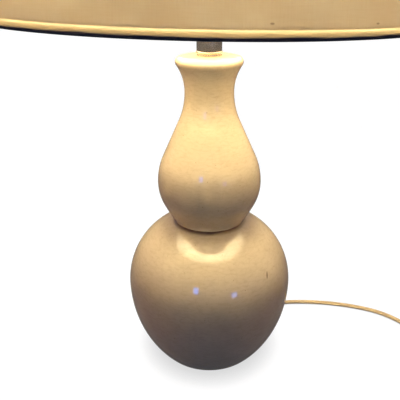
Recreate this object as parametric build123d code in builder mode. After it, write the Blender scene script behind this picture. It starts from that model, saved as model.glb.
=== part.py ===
from build123d import *

import os
from math import acos, asin, atan2, cos, degrees, hypot, pi, radians, sin, sqrt

# Table lamp: a glazed double gourd body on a felt foot, a metal neck, a key socket with
# its bulb, and a round fabric shade carried by a harp. A flat twin lead leaves the foot
# at the back right and ends in a put-away coil and a plug.
# Millimetres, +Z up, +X to the right. The origin is the middle of the foot, on the table.

os.makedirs("parts", exist_ok=True)

# ---------------------------------------------------------------- driving dimensions

# Foot
felt_thickness = 1.5
felt_inset = 1.6  # the felt stops short of the foot's edge
foot_radius = 62.8
foot_land = 3.0  # width of the ring that the body stands on

# Double gourd, outside
belly_radius = 95.9
belly_level = 94.5
shoulder_curve = 84.0
waist_level = 173.7
bulge_radius = 57.0  # the upper, smaller gourd
bulge_level = 220.0
bulge_under_curve = 52.5
bulge_over_curve = 70.0
throat_radius = 25.6
throat_level = 320.0
throat_curve = 75.0
lip_radius = 34.5
lip_round = 5.5
gourd_top = 355.0
gourd_wall = 5.0
pipe_hole_clearance = 0.5
floor_thickness = 5.0

# Threaded pipe and what it clamps
pipe_radius = 4.85
pipe_bore = 3.45
pipe_below_nut = 1.5
pipe_above_saddle = 8.0
nut_across_flats = 14.3
nut_thickness = 4.0
lock_washer_radius = 8.2
lock_washer_thickness = 1.2
base_washer_radius = 19.0
base_washer_thickness = 1.6
fastener_clearance = 0.1

# Neck
seat_radius = 12.7
seat_height = 2.3
bead_radius = 13.4
bead_height = 3.0
neck_radius = 12.8
neck_length = 28.0
neck_wall = 0.8
neck_plate = 1.2

# Saddle, harp and ferrules
saddle_thickness = 1.2
saddle_width = 12.5
saddle_eye_radius = 11.5
harp_half_gap = 26.0  # from the middle to a leg
harp_wire = 3.6
harp_half_width = 58.0
harp_wide_from = 84.0
harp_wide_to = 170.0
harp_top_half = 34.0
harp_height = 233.2  # saddle to the middle of the top wire
harp_leg_straight = 32.0
harp_foot_gap = 1.5
post_radius = 3.0
post_height = 11.0
post_root = 0.9
wire_clearance = 0.07
ferrule_wall = 0.9
ferrule_length = 13.0
ferrule_cap = 1.0
harp_lean_degrees = 1.02  # the harp stands a little crooked, right side low
hub_radius = 5.0
hub_height = 6.4

# Swivel stud and finial
rivet_radius = 2.0
rivet_head_radius = 3.6
rivet_head_height = 1.2
swivel_clearance = 0.06
swivel_gap = 0.1
flange_radius = 6.5
flange_height = 1.6
stud_radius = 3.1
stud_height = 14.8
finial_base_radius = 6.4
finial_height = 32.0
finial_ball_radius = 8.2
finial_tip_radius = 2.6
finial_foot = 3.0
finial_neck_radius = 4.2
finial_bore_spare = 1.0

# Shade
shade_bottom_radius = 220.0
shade_top_radius = 190.0
shade_bottom_level = 5.5  # above the saddle, along the harp
shade_height = 254.0
shade_card = 1.0
hem_cloth = 0.5
hem_height = 7.5
hem_inside_height = 6.0
hem_corner = 1.6
ring_wire = 3.5
spider_washer_radius = 14.0
spider_washer_thickness = 1.4
spider_arm_wire = 3.0
spider_arm_angles = (90, 210, 330)
arm_notch_gap = 0.3

# Socket
socket_radius = 16.6
socket_sheet = 0.7
socket_fit = 0.1
cap_base_radius = 9.0
cap_flare_height = 14.0
cap_height = 20.0
shell_lap = 6.0  # how far the cap's rim laps the shell
shell_length = 46.0
liner_card = 0.8
liner_margin = 1.0
core_radius = 13.9
core_flat = 11.5
core_level = 15.5
core_height = 19.5
screw_pitch = 3.6
screw_turns = 6
screw_depth = 0.65
screw_sheet = 0.35
screw_shell_radius = 13.4
contact_radius = 4.0
contact_thickness = 1.0
terminal_head_radius = 2.6
terminal_head_height = 1.8
terminal_shank_radius = 1.4
terminal_shank_length = 6.0
terminal_level = 9.0  # above the core's underside
key_level = 27.0
key_shaft_radius = 1.6
key_shaft_inner = 6.0
key_shaft_outer = 32.0
key_hole_clearance = 0.05
key_slot_radius = 3.0
knob_inner = 20.0
knob_outer = 34.0
knob_radius = 5.2
knob_round = 1.0
knob_grooves = 12
knob_groove_radius = 0.9

# Bulb
bulb_gap = 0.35  # between the bulb's cap and the screw shell
bulb_level = 37.0  # the contact's tip, above the saddle
bulb_length = 108.0
bulb_radius = 30.0
bulb_neck_radius = 11.9
bulb_neck_curve = 42.0
bulb_glass_wall = 0.6
bulb_contact_radius = 4.6
bulb_contact_height = 1.8
insulator_height = 4.2
neck_in_cap = 8.0
stem_radius = 3.2
stem_height = 34.0
stem_flare_radius = 9.0
filament_radius = 0.5
filament_span = 11.0

# Lead: flat twin flex, drawn here as a round tube as wide as the flex
cord_width = 6.6
table_gap = 0.05
outlet_level = 9.5
outlet_degrees = 35.0  # from +X towards +Y
inner_bend = 9.0
bushing_radius = 5.2
bushing_clearance = 0.05
bushing_inner = 60.0
bushing_shoulder = 74.0
bushing_head_radius = 6.6
bushing_head_length = 2.6
bushing_nose_radius = 4.4
bushing_end = 88.0
bushing_wire_gap = 0.1

# Coil
coil_centre = (323.0, 30.0)
coil_outer = 49.0
coil_gap = 0.7
coil_start_degrees = 225.0
coil_turns_in = 3.0
coil_turns_climb = 0.5
coil_turns_out = 2.875
arcs_per_turn = 4

# Plug
plug_width = 22.0
plug_height = 13.0
plug_length = 24.0
plug_nose_width = 13.0
plug_nose_height = 9.5
plug_nose_length = 10.0
plug_corner = 3.0
plug_nose_corner = 3.0
blade_spacing = 12.7
blade_thickness = 1.5
blade_heights = (6.35, 7.9)
blade_length = 17.0
blade_hole_radius = 1.5
blade_hole_back = 4.5
blade_root = 4.0

# ---------------------------------------------------------------- levels and shared values

foot_level = felt_thickness
cord_radius = cord_width / 2
outlet_direction = (cos(radians(outlet_degrees)), sin(radians(outlet_degrees)), 0)
outlet_plane = Plane(origin=(0, 0, outlet_level), z_dir=outlet_direction)
outlet_side = Plane(
    origin=(0, 0, outlet_level),
    x_dir=outlet_direction,
    z_dir=(outlet_direction[1], -outlet_direction[0], 0),
)
outlet_axis = Axis((0, 0, outlet_level), outlet_direction)

pipe_bottom = outlet_level + inner_bend
nut_level = pipe_bottom + pipe_below_nut
lock_washer_level = nut_level + nut_thickness
base_washer_level = lock_washer_level + lock_washer_thickness
floor_under = base_washer_level + base_washer_thickness

bead_level = gourd_top + seat_height
neck_level = bead_level + bead_height
saddle_under = neck_level + neck_length
saddle_top = saddle_under + saddle_thickness
pipe_top = saddle_top + pipe_above_saddle

# What the harp carries is built about the harp's own axis, which leans to the right.
lean = radians(harp_lean_degrees)
harp_plane = Plane(
    origin=(0, 0, saddle_top),
    x_dir=(cos(lean), 0, -sin(lean)),
    z_dir=(sin(lean), 0, cos(lean)),
)
harp_side = Plane(origin=(0, 0, saddle_top), x_dir=harp_plane.x_dir, z_dir=(0, -1, 0))
harp_axis = Axis(harp_plane.origin, harp_plane.z_dir)

hub_top = harp_height + hub_height / 2
flange_level = hub_top + swivel_gap
washer_level = flange_level + flange_height
finial_level = washer_level + spider_washer_thickness
stud_top = washer_level + stud_height

# ---------------------------------------------------------------- gourd body

under_belly_curve = (
    (belly_radius - foot_radius) ** 2 + (belly_level - foot_level) ** 2
) / (2 * (belly_radius - foot_radius))
under_belly_angle = degrees(asin((belly_level - foot_level) / under_belly_curve))
shoulder_angle = degrees(asin((waist_level - belly_level) / shoulder_curve))
shoulder_centre = belly_radius - shoulder_curve
waist_radius = shoulder_centre + shoulder_curve * cos(radians(shoulder_angle))

# A straight stretch rises from the waist and touches the bulge's under curve.
bulge_under_centre = bulge_radius - bulge_under_curve
waist_out = waist_radius - bulge_under_centre
waist_down = bulge_level - waist_level
under_angle = 90 - degrees(
    atan2(waist_out, waist_down)
    + acos(bulge_under_curve / hypot(waist_out, waist_down))
)

# Another joins the bulge's over curve to the hollow curve of the throat.
bulge_over_centre = bulge_radius - bulge_over_curve
throat_centre = throat_radius + throat_curve
throat_out = throat_centre - bulge_over_centre
throat_up = throat_level - bulge_level
over_angle = degrees(
    atan2(throat_up, throat_out)
    - acos((bulge_over_curve + throat_curve) / hypot(throat_out, throat_up))
)

# The flare under the lip touches the lip's round edge.
lip_centre = (lip_radius - lip_round, gourd_top - lip_round)
lip_out = lip_centre[0] - throat_radius
lip_up = lip_centre[1] - throat_level
flare_curve = (lip_out**2 + lip_up**2 - lip_round**2) / (2 * (lip_out + lip_round))
flare_centre = throat_radius + flare_curve
flare_angle = degrees(asin(lip_up / (flare_curve + lip_round)))

with BuildPart() as gourd_body:
    with BuildSketch(Plane.XZ) as gourd_face:
        with BuildLine():
            Line((0, foot_level), (foot_radius, foot_level))
            CenterArc(
                (belly_radius - under_belly_curve, belly_level),
                under_belly_curve,
                -under_belly_angle,
                under_belly_angle,
            )
            shoulder = CenterArc(
                (shoulder_centre, belly_level), shoulder_curve, 0, shoulder_angle
            )
            under = CenterArc(
                (bulge_under_centre, bulge_level),
                bulge_under_curve,
                -under_angle,
                under_angle,
            )
            Line(shoulder @ 1, under @ 0)
            over = CenterArc(
                (bulge_over_centre, bulge_level), bulge_over_curve, 0, over_angle
            )
            throat = CenterArc(
                (throat_centre, throat_level),
                throat_curve,
                180 + over_angle,
                -over_angle,
            )
            Line(over @ 1, throat @ 0)
            CenterArc((flare_centre, throat_level), flare_curve, 180, -flare_angle)
            CenterArc(lip_centre, lip_round, -flare_angle, 90 + flare_angle)
            Line((lip_centre[0], gourd_top), (0, gourd_top))
            Line((0, gourd_top), (0, foot_level))
        make_face()
    revolve(axis=Axis.Z)
    # The hollow follows the outside one wall in, with a floor above the foot's recess.
    with BuildSketch(Plane.XZ) as hollow_face:
        add(gourd_face.sketch_local)
        mirror(about=Plane.YZ)
        offset(amount=-gourd_wall)
        with Locations((0, foot_level + gourd_wall / 2)):
            Rectangle(2 * (foot_radius - foot_land), 2 * gourd_wall)
        with Locations((0, floor_under + floor_thickness / 2)):
            Rectangle(2 * belly_radius, floor_thickness, mode=Mode.SUBTRACT)
        split(bisect_by=Plane.YZ)
    revolve(axis=Axis.Z, mode=Mode.SUBTRACT)
    with BuildSketch(Plane.XY):
        Circle(pipe_radius + pipe_hole_clearance)
    extrude(amount=gourd_top, mode=Mode.SUBTRACT)
    with BuildSketch(outlet_plane):
        Circle(bushing_radius + bushing_clearance)
    extrude(amount=bushing_end, mode=Mode.SUBTRACT)
gourd_body.part.label = "gourd_body"
export_step(gourd_body.part, "parts/gourd_body.step")

with BuildPart() as felt_pad:
    Cylinder(
        foot_radius - felt_inset,
        felt_thickness,
        align=(Align.CENTER, Align.CENTER, Align.MIN),
    )
felt_pad.part.label = "felt_pad"
export_step(felt_pad.part, "parts/felt_pad.step")

# ---------------------------------------------------------------- pipe and its fasteners


def ring_face(level, outer, inner):
    """Draw a flat ring at a level, ready to be extruded upwards."""
    with BuildSketch(Plane.XY.offset(level)) as face:
        Circle(outer)
        Circle(inner, mode=Mode.SUBTRACT)
    return face.sketch


fastener_bore = pipe_radius + fastener_clearance

with BuildPart() as threaded_pipe:
    add(ring_face(pipe_bottom, pipe_radius, pipe_bore))
    extrude(amount=pipe_top - pipe_bottom)
threaded_pipe.part.label = "threaded_pipe"
export_step(threaded_pipe.part, "parts/threaded_pipe.step")

with BuildPart() as base_washer:
    add(ring_face(base_washer_level, base_washer_radius, fastener_bore))
    extrude(amount=base_washer_thickness)
base_washer.part.label = "base_washer"
export_step(base_washer.part, "parts/base_washer.step")

with BuildPart() as lock_washer:
    add(ring_face(lock_washer_level, lock_washer_radius, fastener_bore))
    extrude(amount=lock_washer_thickness)
lock_washer.part.label = "lock_washer"
export_step(lock_washer.part, "parts/lock_washer.step")

with BuildPart() as base_nut:
    with BuildSketch(Plane.XY.offset(nut_level)):
        RegularPolygon(nut_across_flats / 2, 6, major_radius=False)
        Circle(fastener_bore, mode=Mode.SUBTRACT)
    extrude(amount=nut_thickness)
base_nut.part.label = "base_nut"
export_step(base_nut.part, "parts/base_nut.step")

# ---------------------------------------------------------------- neck

with BuildPart() as seating_ring:
    with BuildSketch(Plane.XZ):
        with BuildLine():
            Polyline(
                (seat_radius - bead_height / 2, neck_level),
                (fastener_bore, neck_level),
                (fastener_bore, gourd_top),
                (seat_radius, gourd_top),
                (seat_radius, bead_level),
                (bead_radius - bead_height / 2, bead_level),
            )
            CenterArc(
                (bead_radius - bead_height / 2, bead_level + bead_height / 2),
                bead_height / 2,
                -90,
                180,
            )
            Line(
                (bead_radius - bead_height / 2, neck_level),
                (seat_radius - bead_height / 2, neck_level),
            )
        make_face()
    revolve(axis=Axis.Z)
seating_ring.part.label = "seating_ring"
export_step(seating_ring.part, "parts/seating_ring.step")

with BuildPart() as neck_tube:
    add(ring_face(neck_level, neck_radius, fastener_bore))
    extrude(amount=neck_length)
    add(ring_face(neck_level, neck_radius - neck_wall, fastener_bore))
    extrude(amount=neck_length - neck_plate, mode=Mode.SUBTRACT)
    fillet(neck_tube.edges().group_by(Axis.Z)[-1].sort_by(SortBy.LENGTH)[-1], neck_wall)
neck_tube.part.label = "neck_tube"
export_step(neck_tube.part, "parts/neck_tube.step")

# ---------------------------------------------------------------- saddle, harp, ferrules

wire_bore = harp_wire / 2 + wire_clearance
leg_places = [(-harp_half_gap, 0), (harp_half_gap, 0)]

with BuildPart() as harp_saddle:
    with BuildSketch(Plane.XY.offset(saddle_under)):
        Rectangle(2 * harp_half_gap, saddle_width)
        Circle(saddle_eye_radius)
    extrude(amount=saddle_thickness)
    with BuildSketch(harp_plane.offset(-post_root)):
        with Locations(*leg_places):
            Circle(post_radius)
    extrude(amount=post_root + post_height)
    with BuildSketch(harp_plane.offset(harp_foot_gap)):
        with Locations(*leg_places):
            Circle(wire_bore)
    extrude(amount=post_height, mode=Mode.SUBTRACT)
    with BuildSketch(Plane.XY.offset(saddle_under)):
        Circle(fastener_bore)
    extrude(amount=saddle_thickness, mode=Mode.SUBTRACT)
harp_saddle.part.label = "harp_saddle"
export_step(harp_saddle.part, "parts/harp_saddle.step")

harp_corners = [
    (harp_half_gap, harp_leg_straight),
    (harp_half_width, harp_wide_from),
    (harp_half_width, harp_wide_to),
    (harp_top_half, harp_height),
]
harp_bends = [26.0, 60.0, 70.0, 24.0]

with BuildPart() as harp:
    with BuildLine(harp_side) as harp_line:
        FilletPolyline(
            (harp_half_gap, harp_foot_gap),
            *harp_corners,
            *[(-x, y) for x, y in reversed(harp_corners)],
            (-harp_half_gap, harp_foot_gap),
            radius=harp_bends + harp_bends[::-1],
        )
    with BuildSketch(Plane(origin=harp_line.line @ 0, z_dir=harp_line.line % 0)):
        Circle(harp_wire / 2)
    sweep()
    with BuildSketch(harp_plane.offset(harp_height - hub_height / 2)):
        Circle(hub_radius)
    extrude(amount=hub_height)
    with BuildSketch(harp_plane.offset(harp_height - hub_height / 2)):
        Circle(rivet_radius + swivel_clearance)
    extrude(amount=hub_height, mode=Mode.SUBTRACT)
harp.part.label = "harp"
export_step(harp.part, "parts/harp.step")


def make_ferrule(x):
    """One sliding sleeve, which hides the joint of post and leg."""
    with BuildPart() as ferrule:
        with BuildSketch(harp_plane.offset(saddle_thickness / 2)):
            with Locations((x, 0)):
                Circle(post_radius + wire_clearance + ferrule_wall)
        extrude(amount=ferrule_length)
        with BuildSketch(harp_plane.offset(saddle_thickness / 2)):
            with Locations((x, 0)):
                Circle(post_radius + wire_clearance)
        extrude(amount=ferrule_length - ferrule_cap, mode=Mode.SUBTRACT)
        with BuildSketch(harp_plane.offset(saddle_thickness / 2)):
            with Locations((x, 0)):
                Circle(wire_bore)
        extrude(amount=ferrule_length, mode=Mode.SUBTRACT)
    return ferrule


ferrule_left = make_ferrule(-harp_half_gap)
ferrule_left.part.label = "ferrule_left"
export_step(ferrule_left.part, "parts/ferrule_left.step")

ferrule_right = make_ferrule(harp_half_gap)
ferrule_right.part.label = "ferrule_right"
export_step(ferrule_right.part, "parts/ferrule_right.step")

with BuildPart() as swivel_stud:
    with BuildSketch(harp_side):
        with BuildLine():
            head_level = harp_height - hub_height / 2 - swivel_gap
            Polyline(
                (0, head_level - rivet_head_height),
                (rivet_head_radius, head_level - rivet_head_height),
                (rivet_head_radius, head_level),
                (rivet_radius, head_level),
                (rivet_radius, flange_level),
                (flange_radius, flange_level),
                (flange_radius, washer_level),
                (stud_radius, washer_level),
                (stud_radius, stud_top),
                (0, stud_top),
                close=True,
            )
        make_face()
    revolve(axis=harp_axis)
swivel_stud.part.label = "swivel_stud"
export_step(swivel_stud.part, "parts/swivel_stud.step")

ball_level = finial_level + finial_height - finial_ball_radius - finial_tip_radius
neck_angle = degrees(acos(finial_neck_radius / finial_ball_radius))
tip_angle = degrees(2 * asin(finial_tip_radius / (2 * finial_ball_radius)))

with BuildPart() as finial:
    with BuildSketch(harp_side):
        with BuildLine():
            Polyline(
                (0, finial_level),
                (finial_base_radius, finial_level),
                (finial_base_radius, finial_level + finial_foot),
            )
            ball = CenterArc(
                (0, ball_level),
                finial_ball_radius,
                -neck_angle,
                90 - tip_angle + neck_angle,
            )
            Spline(
                (finial_base_radius, finial_level + finial_foot),
                (finial_neck_radius, finial_level + 2 * finial_foot),
                ball @ 0,
            )
            tip = CenterArc(
                (0, ball_level + finial_ball_radius),
                finial_tip_radius,
                -tip_angle / 2,
                90 + tip_angle / 2,
            )
            Line(tip @ 1, (0, finial_level))
        make_face()
    revolve(axis=harp_axis)
    with BuildSketch(harp_plane.offset(finial_level)):
        Circle(stud_radius + fastener_clearance)
    extrude(amount=stud_top - finial_level + finial_bore_spare, mode=Mode.SUBTRACT)
finial.part.label = "finial"
export_step(finial.part, "parts/finial.step")

# ---------------------------------------------------------------- shade

shade_slant = hypot(shade_bottom_radius - shade_top_radius, shade_height)
shade_in = (shade_bottom_radius - shade_top_radius) / shade_slant
shade_up = shade_height / shade_slant


def shade_point(along, inward):
    """A point of the shade's section: along the outside from the bottom, then inwards."""
    return (
        shade_bottom_radius - along * shade_in - inward * shade_up,
        shade_bottom_level + along * shade_up - inward * shade_in,
    )


def shade_point_from_top(down, inward):
    """The same, measured down the outside from the top edge."""
    return shade_point(shade_slant - down, inward)


card_outside = hem_cloth
card_inside = hem_cloth + shade_card
ring_centre_in = card_inside + ring_wire / 2
ring_centre_along = hem_cloth + ring_wire / 2
hem_depth = card_inside + ring_wire + hem_cloth
top_ring_radius, top_ring_level = shade_point_from_top(
    ring_centre_along, ring_centre_in
)
arm_start = spider_washer_radius - spider_arm_wire
arm_level = washer_level + spider_washer_thickness / 2


def make_arms(wire):
    """Three straight arms from the washer up to the middle of the top ring."""
    with BuildPart() as arms:
        for angle in spider_arm_angles:
            out_x = cos(radians(angle))
            out_y = sin(radians(angle))
            with BuildLine(harp_plane) as arm:
                Line(
                    (arm_start * out_x, arm_start * out_y, arm_level),
                    (top_ring_radius * out_x, top_ring_radius * out_y, top_ring_level),
                )
            with BuildSketch(Plane(origin=arm.line @ 0, z_dir=arm.line % 0)):
                Circle(wire / 2)
            sweep(path=arm.line)
    return arms.part


def make_hem(place):
    """A cloth tape folded round the card's edge and the ring inside it."""
    with BuildPart() as hem:
        with BuildSketch(harp_side) as face:
            with BuildLine():
                Polyline(
                    place(hem_height, 0),
                    place(0, 0),
                    place(0, hem_depth),
                    place(ring_wire + 2 * hem_cloth, hem_depth),
                    place(hem_inside_height, card_inside + hem_cloth),
                    place(hem_inside_height, card_inside),
                    place(ring_wire + 2 * hem_cloth, card_inside),
                    place(ring_wire + hem_cloth, hem_depth - hem_cloth),
                    place(hem_cloth, hem_depth - hem_cloth),
                    place(hem_cloth, hem_cloth),
                    place(hem_height, hem_cloth),
                    close=True,
                )
            make_face()
            for corner in (place(0, 0), place(0, hem_depth)):
                fillet(face.vertices().sort_by_distance(corner)[0], hem_corner)
            inner_corner = place(hem_cloth, hem_depth - hem_cloth)
            fillet(
                face.vertices().sort_by_distance(inner_corner)[0],
                hem_corner - hem_cloth,
            )
        revolve(axis=harp_axis)
    return hem


with BuildPart() as shade_shell:
    with BuildSketch(harp_side):
        with BuildLine():
            Polyline(
                shade_point(hem_cloth, card_outside),
                shade_point_from_top(hem_cloth, card_outside),
                shade_point_from_top(hem_cloth, card_inside),
                shade_point(hem_cloth, card_inside),
                close=True,
            )
        make_face()
    revolve(axis=harp_axis)
shade_shell.part.label = "shade_shell"
export_step(shade_shell.part, "parts/shade_shell.step")


shade_bottom_hem = make_hem(shade_point)
shade_bottom_hem.part.label = "shade_bottom_hem"
export_step(shade_bottom_hem.part, "parts/shade_bottom_hem.step")

# The top hem is notched where the arms pass under it to the ring.
with BuildPart() as shade_top_hem:
    add(make_hem(shade_point_from_top).part)
    add(make_arms(spider_arm_wire + 2 * arm_notch_gap), mode=Mode.SUBTRACT)
shade_top_hem.part.label = "shade_top_hem"
export_step(shade_top_hem.part, "parts/shade_top_hem.step")

with BuildPart() as shade_bottom_ring:
    with BuildSketch(harp_side):
        with Locations(shade_point(ring_centre_along, ring_centre_in)):
            Circle(ring_wire / 2)
    revolve(axis=harp_axis)
shade_bottom_ring.part.label = "shade_bottom_ring"
export_step(shade_bottom_ring.part, "parts/shade_bottom_ring.step")

with BuildPart() as shade_spider:
    with BuildSketch(harp_plane.offset(washer_level)):
        Circle(spider_washer_radius)
    extrude(amount=spider_washer_thickness)
    with BuildSketch(harp_side):
        with Locations((top_ring_radius, top_ring_level)):
            Circle(ring_wire / 2)
    revolve(axis=harp_axis)
    add(make_arms(spider_arm_wire))
    with BuildSketch(harp_plane.offset(washer_level - spider_arm_wire)):
        Circle(spider_washer_radius)
    extrude(amount=spider_arm_wire, mode=Mode.SUBTRACT)
    with BuildSketch(harp_plane.offset(finial_level)):
        Circle(finial_base_radius + fastener_clearance)
    extrude(amount=spider_arm_wire, mode=Mode.SUBTRACT)
    with BuildSketch(harp_plane.offset(washer_level)):
        Circle(stud_radius + fastener_clearance)
    extrude(amount=spider_washer_thickness, mode=Mode.SUBTRACT)
shade_spider.part.label = "shade_spider"
export_step(shade_spider.part, "parts/shade_spider.step")

# ---------------------------------------------------------------- socket

cap_radius = socket_radius + socket_fit + socket_sheet
shell_level = saddle_top + cap_height - shell_lap
key_height = saddle_top + key_level
key_plane = Plane(origin=(0, 0, key_height), x_dir=(1, 0, 0), z_dir=(0, -1, 0))

with BuildPart() as socket_cap:
    with BuildSketch(Plane.XZ) as cap_face:
        with BuildLine():
            Line((0, saddle_top), (cap_base_radius, saddle_top))
            cap_curve = Spline(
                (cap_base_radius, saddle_top),
                (cap_radius, saddle_top + cap_flare_height),
                tangents=((1, 0.35), (0, 1)),
            )
            Line(cap_curve @ 1, (cap_radius, saddle_top + cap_height))
            Line(
                (cap_radius, saddle_top + cap_height),
                (0, saddle_top + cap_height),
            )
            Line((0, saddle_top + cap_height), (0, saddle_top))
        make_face()
    revolve(axis=Axis.Z)
    offset(
        amount=-socket_sheet,
        openings=socket_cap.faces().sort_by(Axis.Z)[-1],
    )
    with BuildSketch(Plane.XY.offset(saddle_top)):
        Circle(fastener_bore)
    extrude(amount=cap_height, mode=Mode.SUBTRACT)
socket_cap.part.label = "socket_cap"
export_step(socket_cap.part, "parts/socket_cap.step")

with BuildPart() as socket_shell:
    add(ring_face(shell_level, socket_radius, socket_radius - socket_sheet))
    extrude(amount=shell_length)
    with BuildSketch(key_plane):
        Circle(key_slot_radius)
    extrude(amount=socket_radius + socket_sheet, mode=Mode.SUBTRACT)
socket_shell.part.label = "socket_shell"
export_step(socket_shell.part, "parts/socket_shell.step")

liner_radius = socket_radius - socket_sheet - socket_fit
liner_level = shell_level + liner_margin

with BuildPart() as socket_liner:
    add(ring_face(liner_level, liner_radius, liner_radius - liner_card))
    extrude(amount=shell_length - 2 * liner_margin)
    with BuildSketch(key_plane):
        Circle(key_slot_radius)
    extrude(amount=socket_radius + socket_sheet, mode=Mode.SUBTRACT)
socket_liner.part.label = "socket_liner"
export_step(socket_liner.part, "parts/socket_liner.step")

core_under = saddle_top + core_level
core_top = core_under + core_height
terminal_height = core_under + terminal_level
terminal_plane = Plane(origin=(0, 0, terminal_height), x_dir=(0, 1, 0), z_dir=(1, 0, 0))

with BuildPart() as socket_core:
    with BuildSketch(Plane.XY.offset(core_under)):
        Circle(core_radius)
        Rectangle(2 * core_flat, 2 * core_radius, mode=Mode.INTERSECT)
    extrude(amount=core_height)
    with BuildSketch(key_plane.offset(key_shaft_inner)):
        Circle(key_shaft_radius + key_hole_clearance)
    extrude(amount=core_radius, mode=Mode.SUBTRACT)
    with BuildSketch(terminal_plane.offset(core_flat - terminal_shank_length)):
        Circle(terminal_shank_radius)
    extrude(amount=terminal_shank_length, mode=Mode.SUBTRACT)
    with BuildSketch(terminal_plane.offset(-core_flat)):
        Circle(terminal_shank_radius)
    extrude(amount=terminal_shank_length, mode=Mode.SUBTRACT)
socket_core.part.label = "socket_core"
export_step(socket_core.part, "parts/socket_core.step")

with BuildPart() as terminal_screws:
    with BuildSketch(terminal_plane.offset(core_flat - terminal_shank_length)):
        Circle(terminal_shank_radius)
    extrude(amount=terminal_shank_length)
    with BuildSketch(terminal_plane.offset(core_flat)):
        Circle(terminal_head_radius)
    extrude(amount=terminal_head_height)
    mirror(about=Plane.YZ)
terminal_screws.part.label = "terminal_screws"
export_step(terminal_screws.part, "parts/terminal_screws.step")


def screw_points(radius, level):
    """Section points of a rolled thread, root and crest in turn, going up."""
    points = []
    for step in range(2 * screw_turns + 1):
        reach = screw_depth if step % 2 else 0
        points.append((radius + reach, level + step * screw_pitch / 2))
    return points


def make_rolled_shell(radius, level):
    """A thin rolled tube, whose outside and inside both follow the thread."""
    outside = screw_points(radius + screw_sheet, level)
    inside = screw_points(radius, level)
    with BuildPart() as rolled:
        with BuildSketch(Plane.XZ):
            with BuildLine():
                Polyline(*outside, *reversed(inside), close=True)
            make_face()
        revolve(axis=Axis.Z)
    return rolled


screw_shell = make_rolled_shell(screw_shell_radius, core_top)
screw_shell.part.label = "screw_shell"
export_step(screw_shell.part, "parts/screw_shell.step")

with BuildPart() as centre_contact:
    with BuildSketch(Plane.XY.offset(core_top)):
        Circle(contact_radius)
    extrude(amount=contact_thickness)
centre_contact.part.label = "centre_contact"
export_step(centre_contact.part, "parts/centre_contact.step")

with BuildPart() as switch_shaft:
    with BuildSketch(key_plane.offset(key_shaft_inner + key_hole_clearance)):
        Circle(key_shaft_radius)
    extrude(amount=key_shaft_outer - key_shaft_inner)
switch_shaft.part.label = "switch_shaft"
export_step(switch_shaft.part, "parts/switch_shaft.step")

with BuildPart() as switch_knob:
    with BuildSketch(key_plane.offset(knob_inner)):
        Circle(knob_radius)
    extrude(amount=knob_outer - knob_inner)
    fillet(switch_knob.edges().group_by(Axis.Y)[0], knob_round)
    with BuildSketch(key_plane.offset(knob_inner)):
        with PolarLocations(knob_radius + knob_groove_radius / 3, knob_grooves):
            Circle(knob_groove_radius)
    extrude(amount=knob_outer - knob_inner, mode=Mode.SUBTRACT)
    with BuildSketch(key_plane.offset(knob_inner)):
        Circle(key_shaft_radius)
    extrude(
        amount=key_shaft_outer + key_hole_clearance - knob_inner, mode=Mode.SUBTRACT
    )
switch_knob.part.label = "switch_knob"
export_step(switch_knob.part, "parts/switch_knob.step")

# ---------------------------------------------------------------- bulb

bulb_tip = saddle_top + bulb_level
bulb_cap_level = bulb_tip + bulb_contact_height + insulator_height
bulb_cap_radius = screw_shell_radius - bulb_gap - screw_depth - screw_sheet
bulb_cap_top = bulb_cap_level + screw_turns * screw_pitch
bulb_centre = bulb_tip + bulb_length - bulb_radius
neck_centre = bulb_neck_radius + bulb_neck_curve
neck_drop = sqrt((bulb_radius + bulb_neck_curve) ** 2 - neck_centre**2)
neck_angle = degrees(asin(neck_drop / (bulb_radius + bulb_neck_curve)))
neck_bottom = bulb_cap_top - neck_in_cap

with BuildPart() as bulb_contact:
    with BuildSketch(Plane.XY.offset(bulb_tip)):
        Circle(bulb_contact_radius)
    extrude(amount=bulb_contact_height)
bulb_contact.part.label = "bulb_contact"
export_step(bulb_contact.part, "parts/bulb_contact.step")

with BuildPart() as bulb_insulator:
    with BuildSketch(Plane.XY.offset(bulb_tip + bulb_contact_height)):
        Circle(bulb_contact_radius)
    with BuildSketch(Plane.XY.offset(bulb_cap_level)):
        Circle(bulb_cap_radius + screw_sheet)
    loft()
bulb_insulator.part.label = "bulb_insulator"
export_step(bulb_insulator.part, "parts/bulb_insulator.step")

bulb_base = make_rolled_shell(bulb_cap_radius, bulb_cap_level)
bulb_base.part.label = "bulb_base"
export_step(bulb_base.part, "parts/bulb_base.step")


with BuildPart() as bulb_glass:
    for wall, mode in ((0, Mode.ADD), (bulb_glass_wall, Mode.SUBTRACT)):
        with BuildSketch(Plane.XZ):
            with BuildLine():
                neck = Line(
                    (bulb_neck_radius - wall, neck_bottom),
                    (bulb_neck_radius - wall, bulb_centre - neck_drop),
                )
                CenterArc(
                    (neck_centre, bulb_centre - neck_drop),
                    bulb_neck_curve + wall,
                    180,
                    -neck_angle,
                )
                CenterArc(
                    (0, bulb_centre), bulb_radius - wall, -neck_angle, 90 + neck_angle
                )
                Line((0, bulb_centre + bulb_radius - wall), (0, neck_bottom))
                Line((0, neck_bottom), neck @ 0)
            make_face()
        revolve(axis=Axis.Z, mode=mode)
bulb_glass.part.label = "bulb_glass"
export_step(bulb_glass.part, "parts/bulb_glass.step")

stem_flare_height = 3.0

with BuildPart() as bulb_stem:
    with BuildSketch(Plane.XZ):
        with BuildLine():
            Polyline(
                (0, neck_bottom),
                (stem_flare_radius, neck_bottom),
                (stem_radius, neck_bottom + stem_flare_height),
                (stem_radius, neck_bottom + stem_height),
                (0, neck_bottom + stem_height),
                close=True,
            )
        make_face()
    revolve(axis=Axis.Z)
bulb_stem.part.label = "bulb_stem"
export_step(bulb_stem.part, "parts/bulb_stem.step")

filament_foot = neck_bottom + stem_height
filament_rise = 20.0
filament_bend = 3.0

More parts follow.
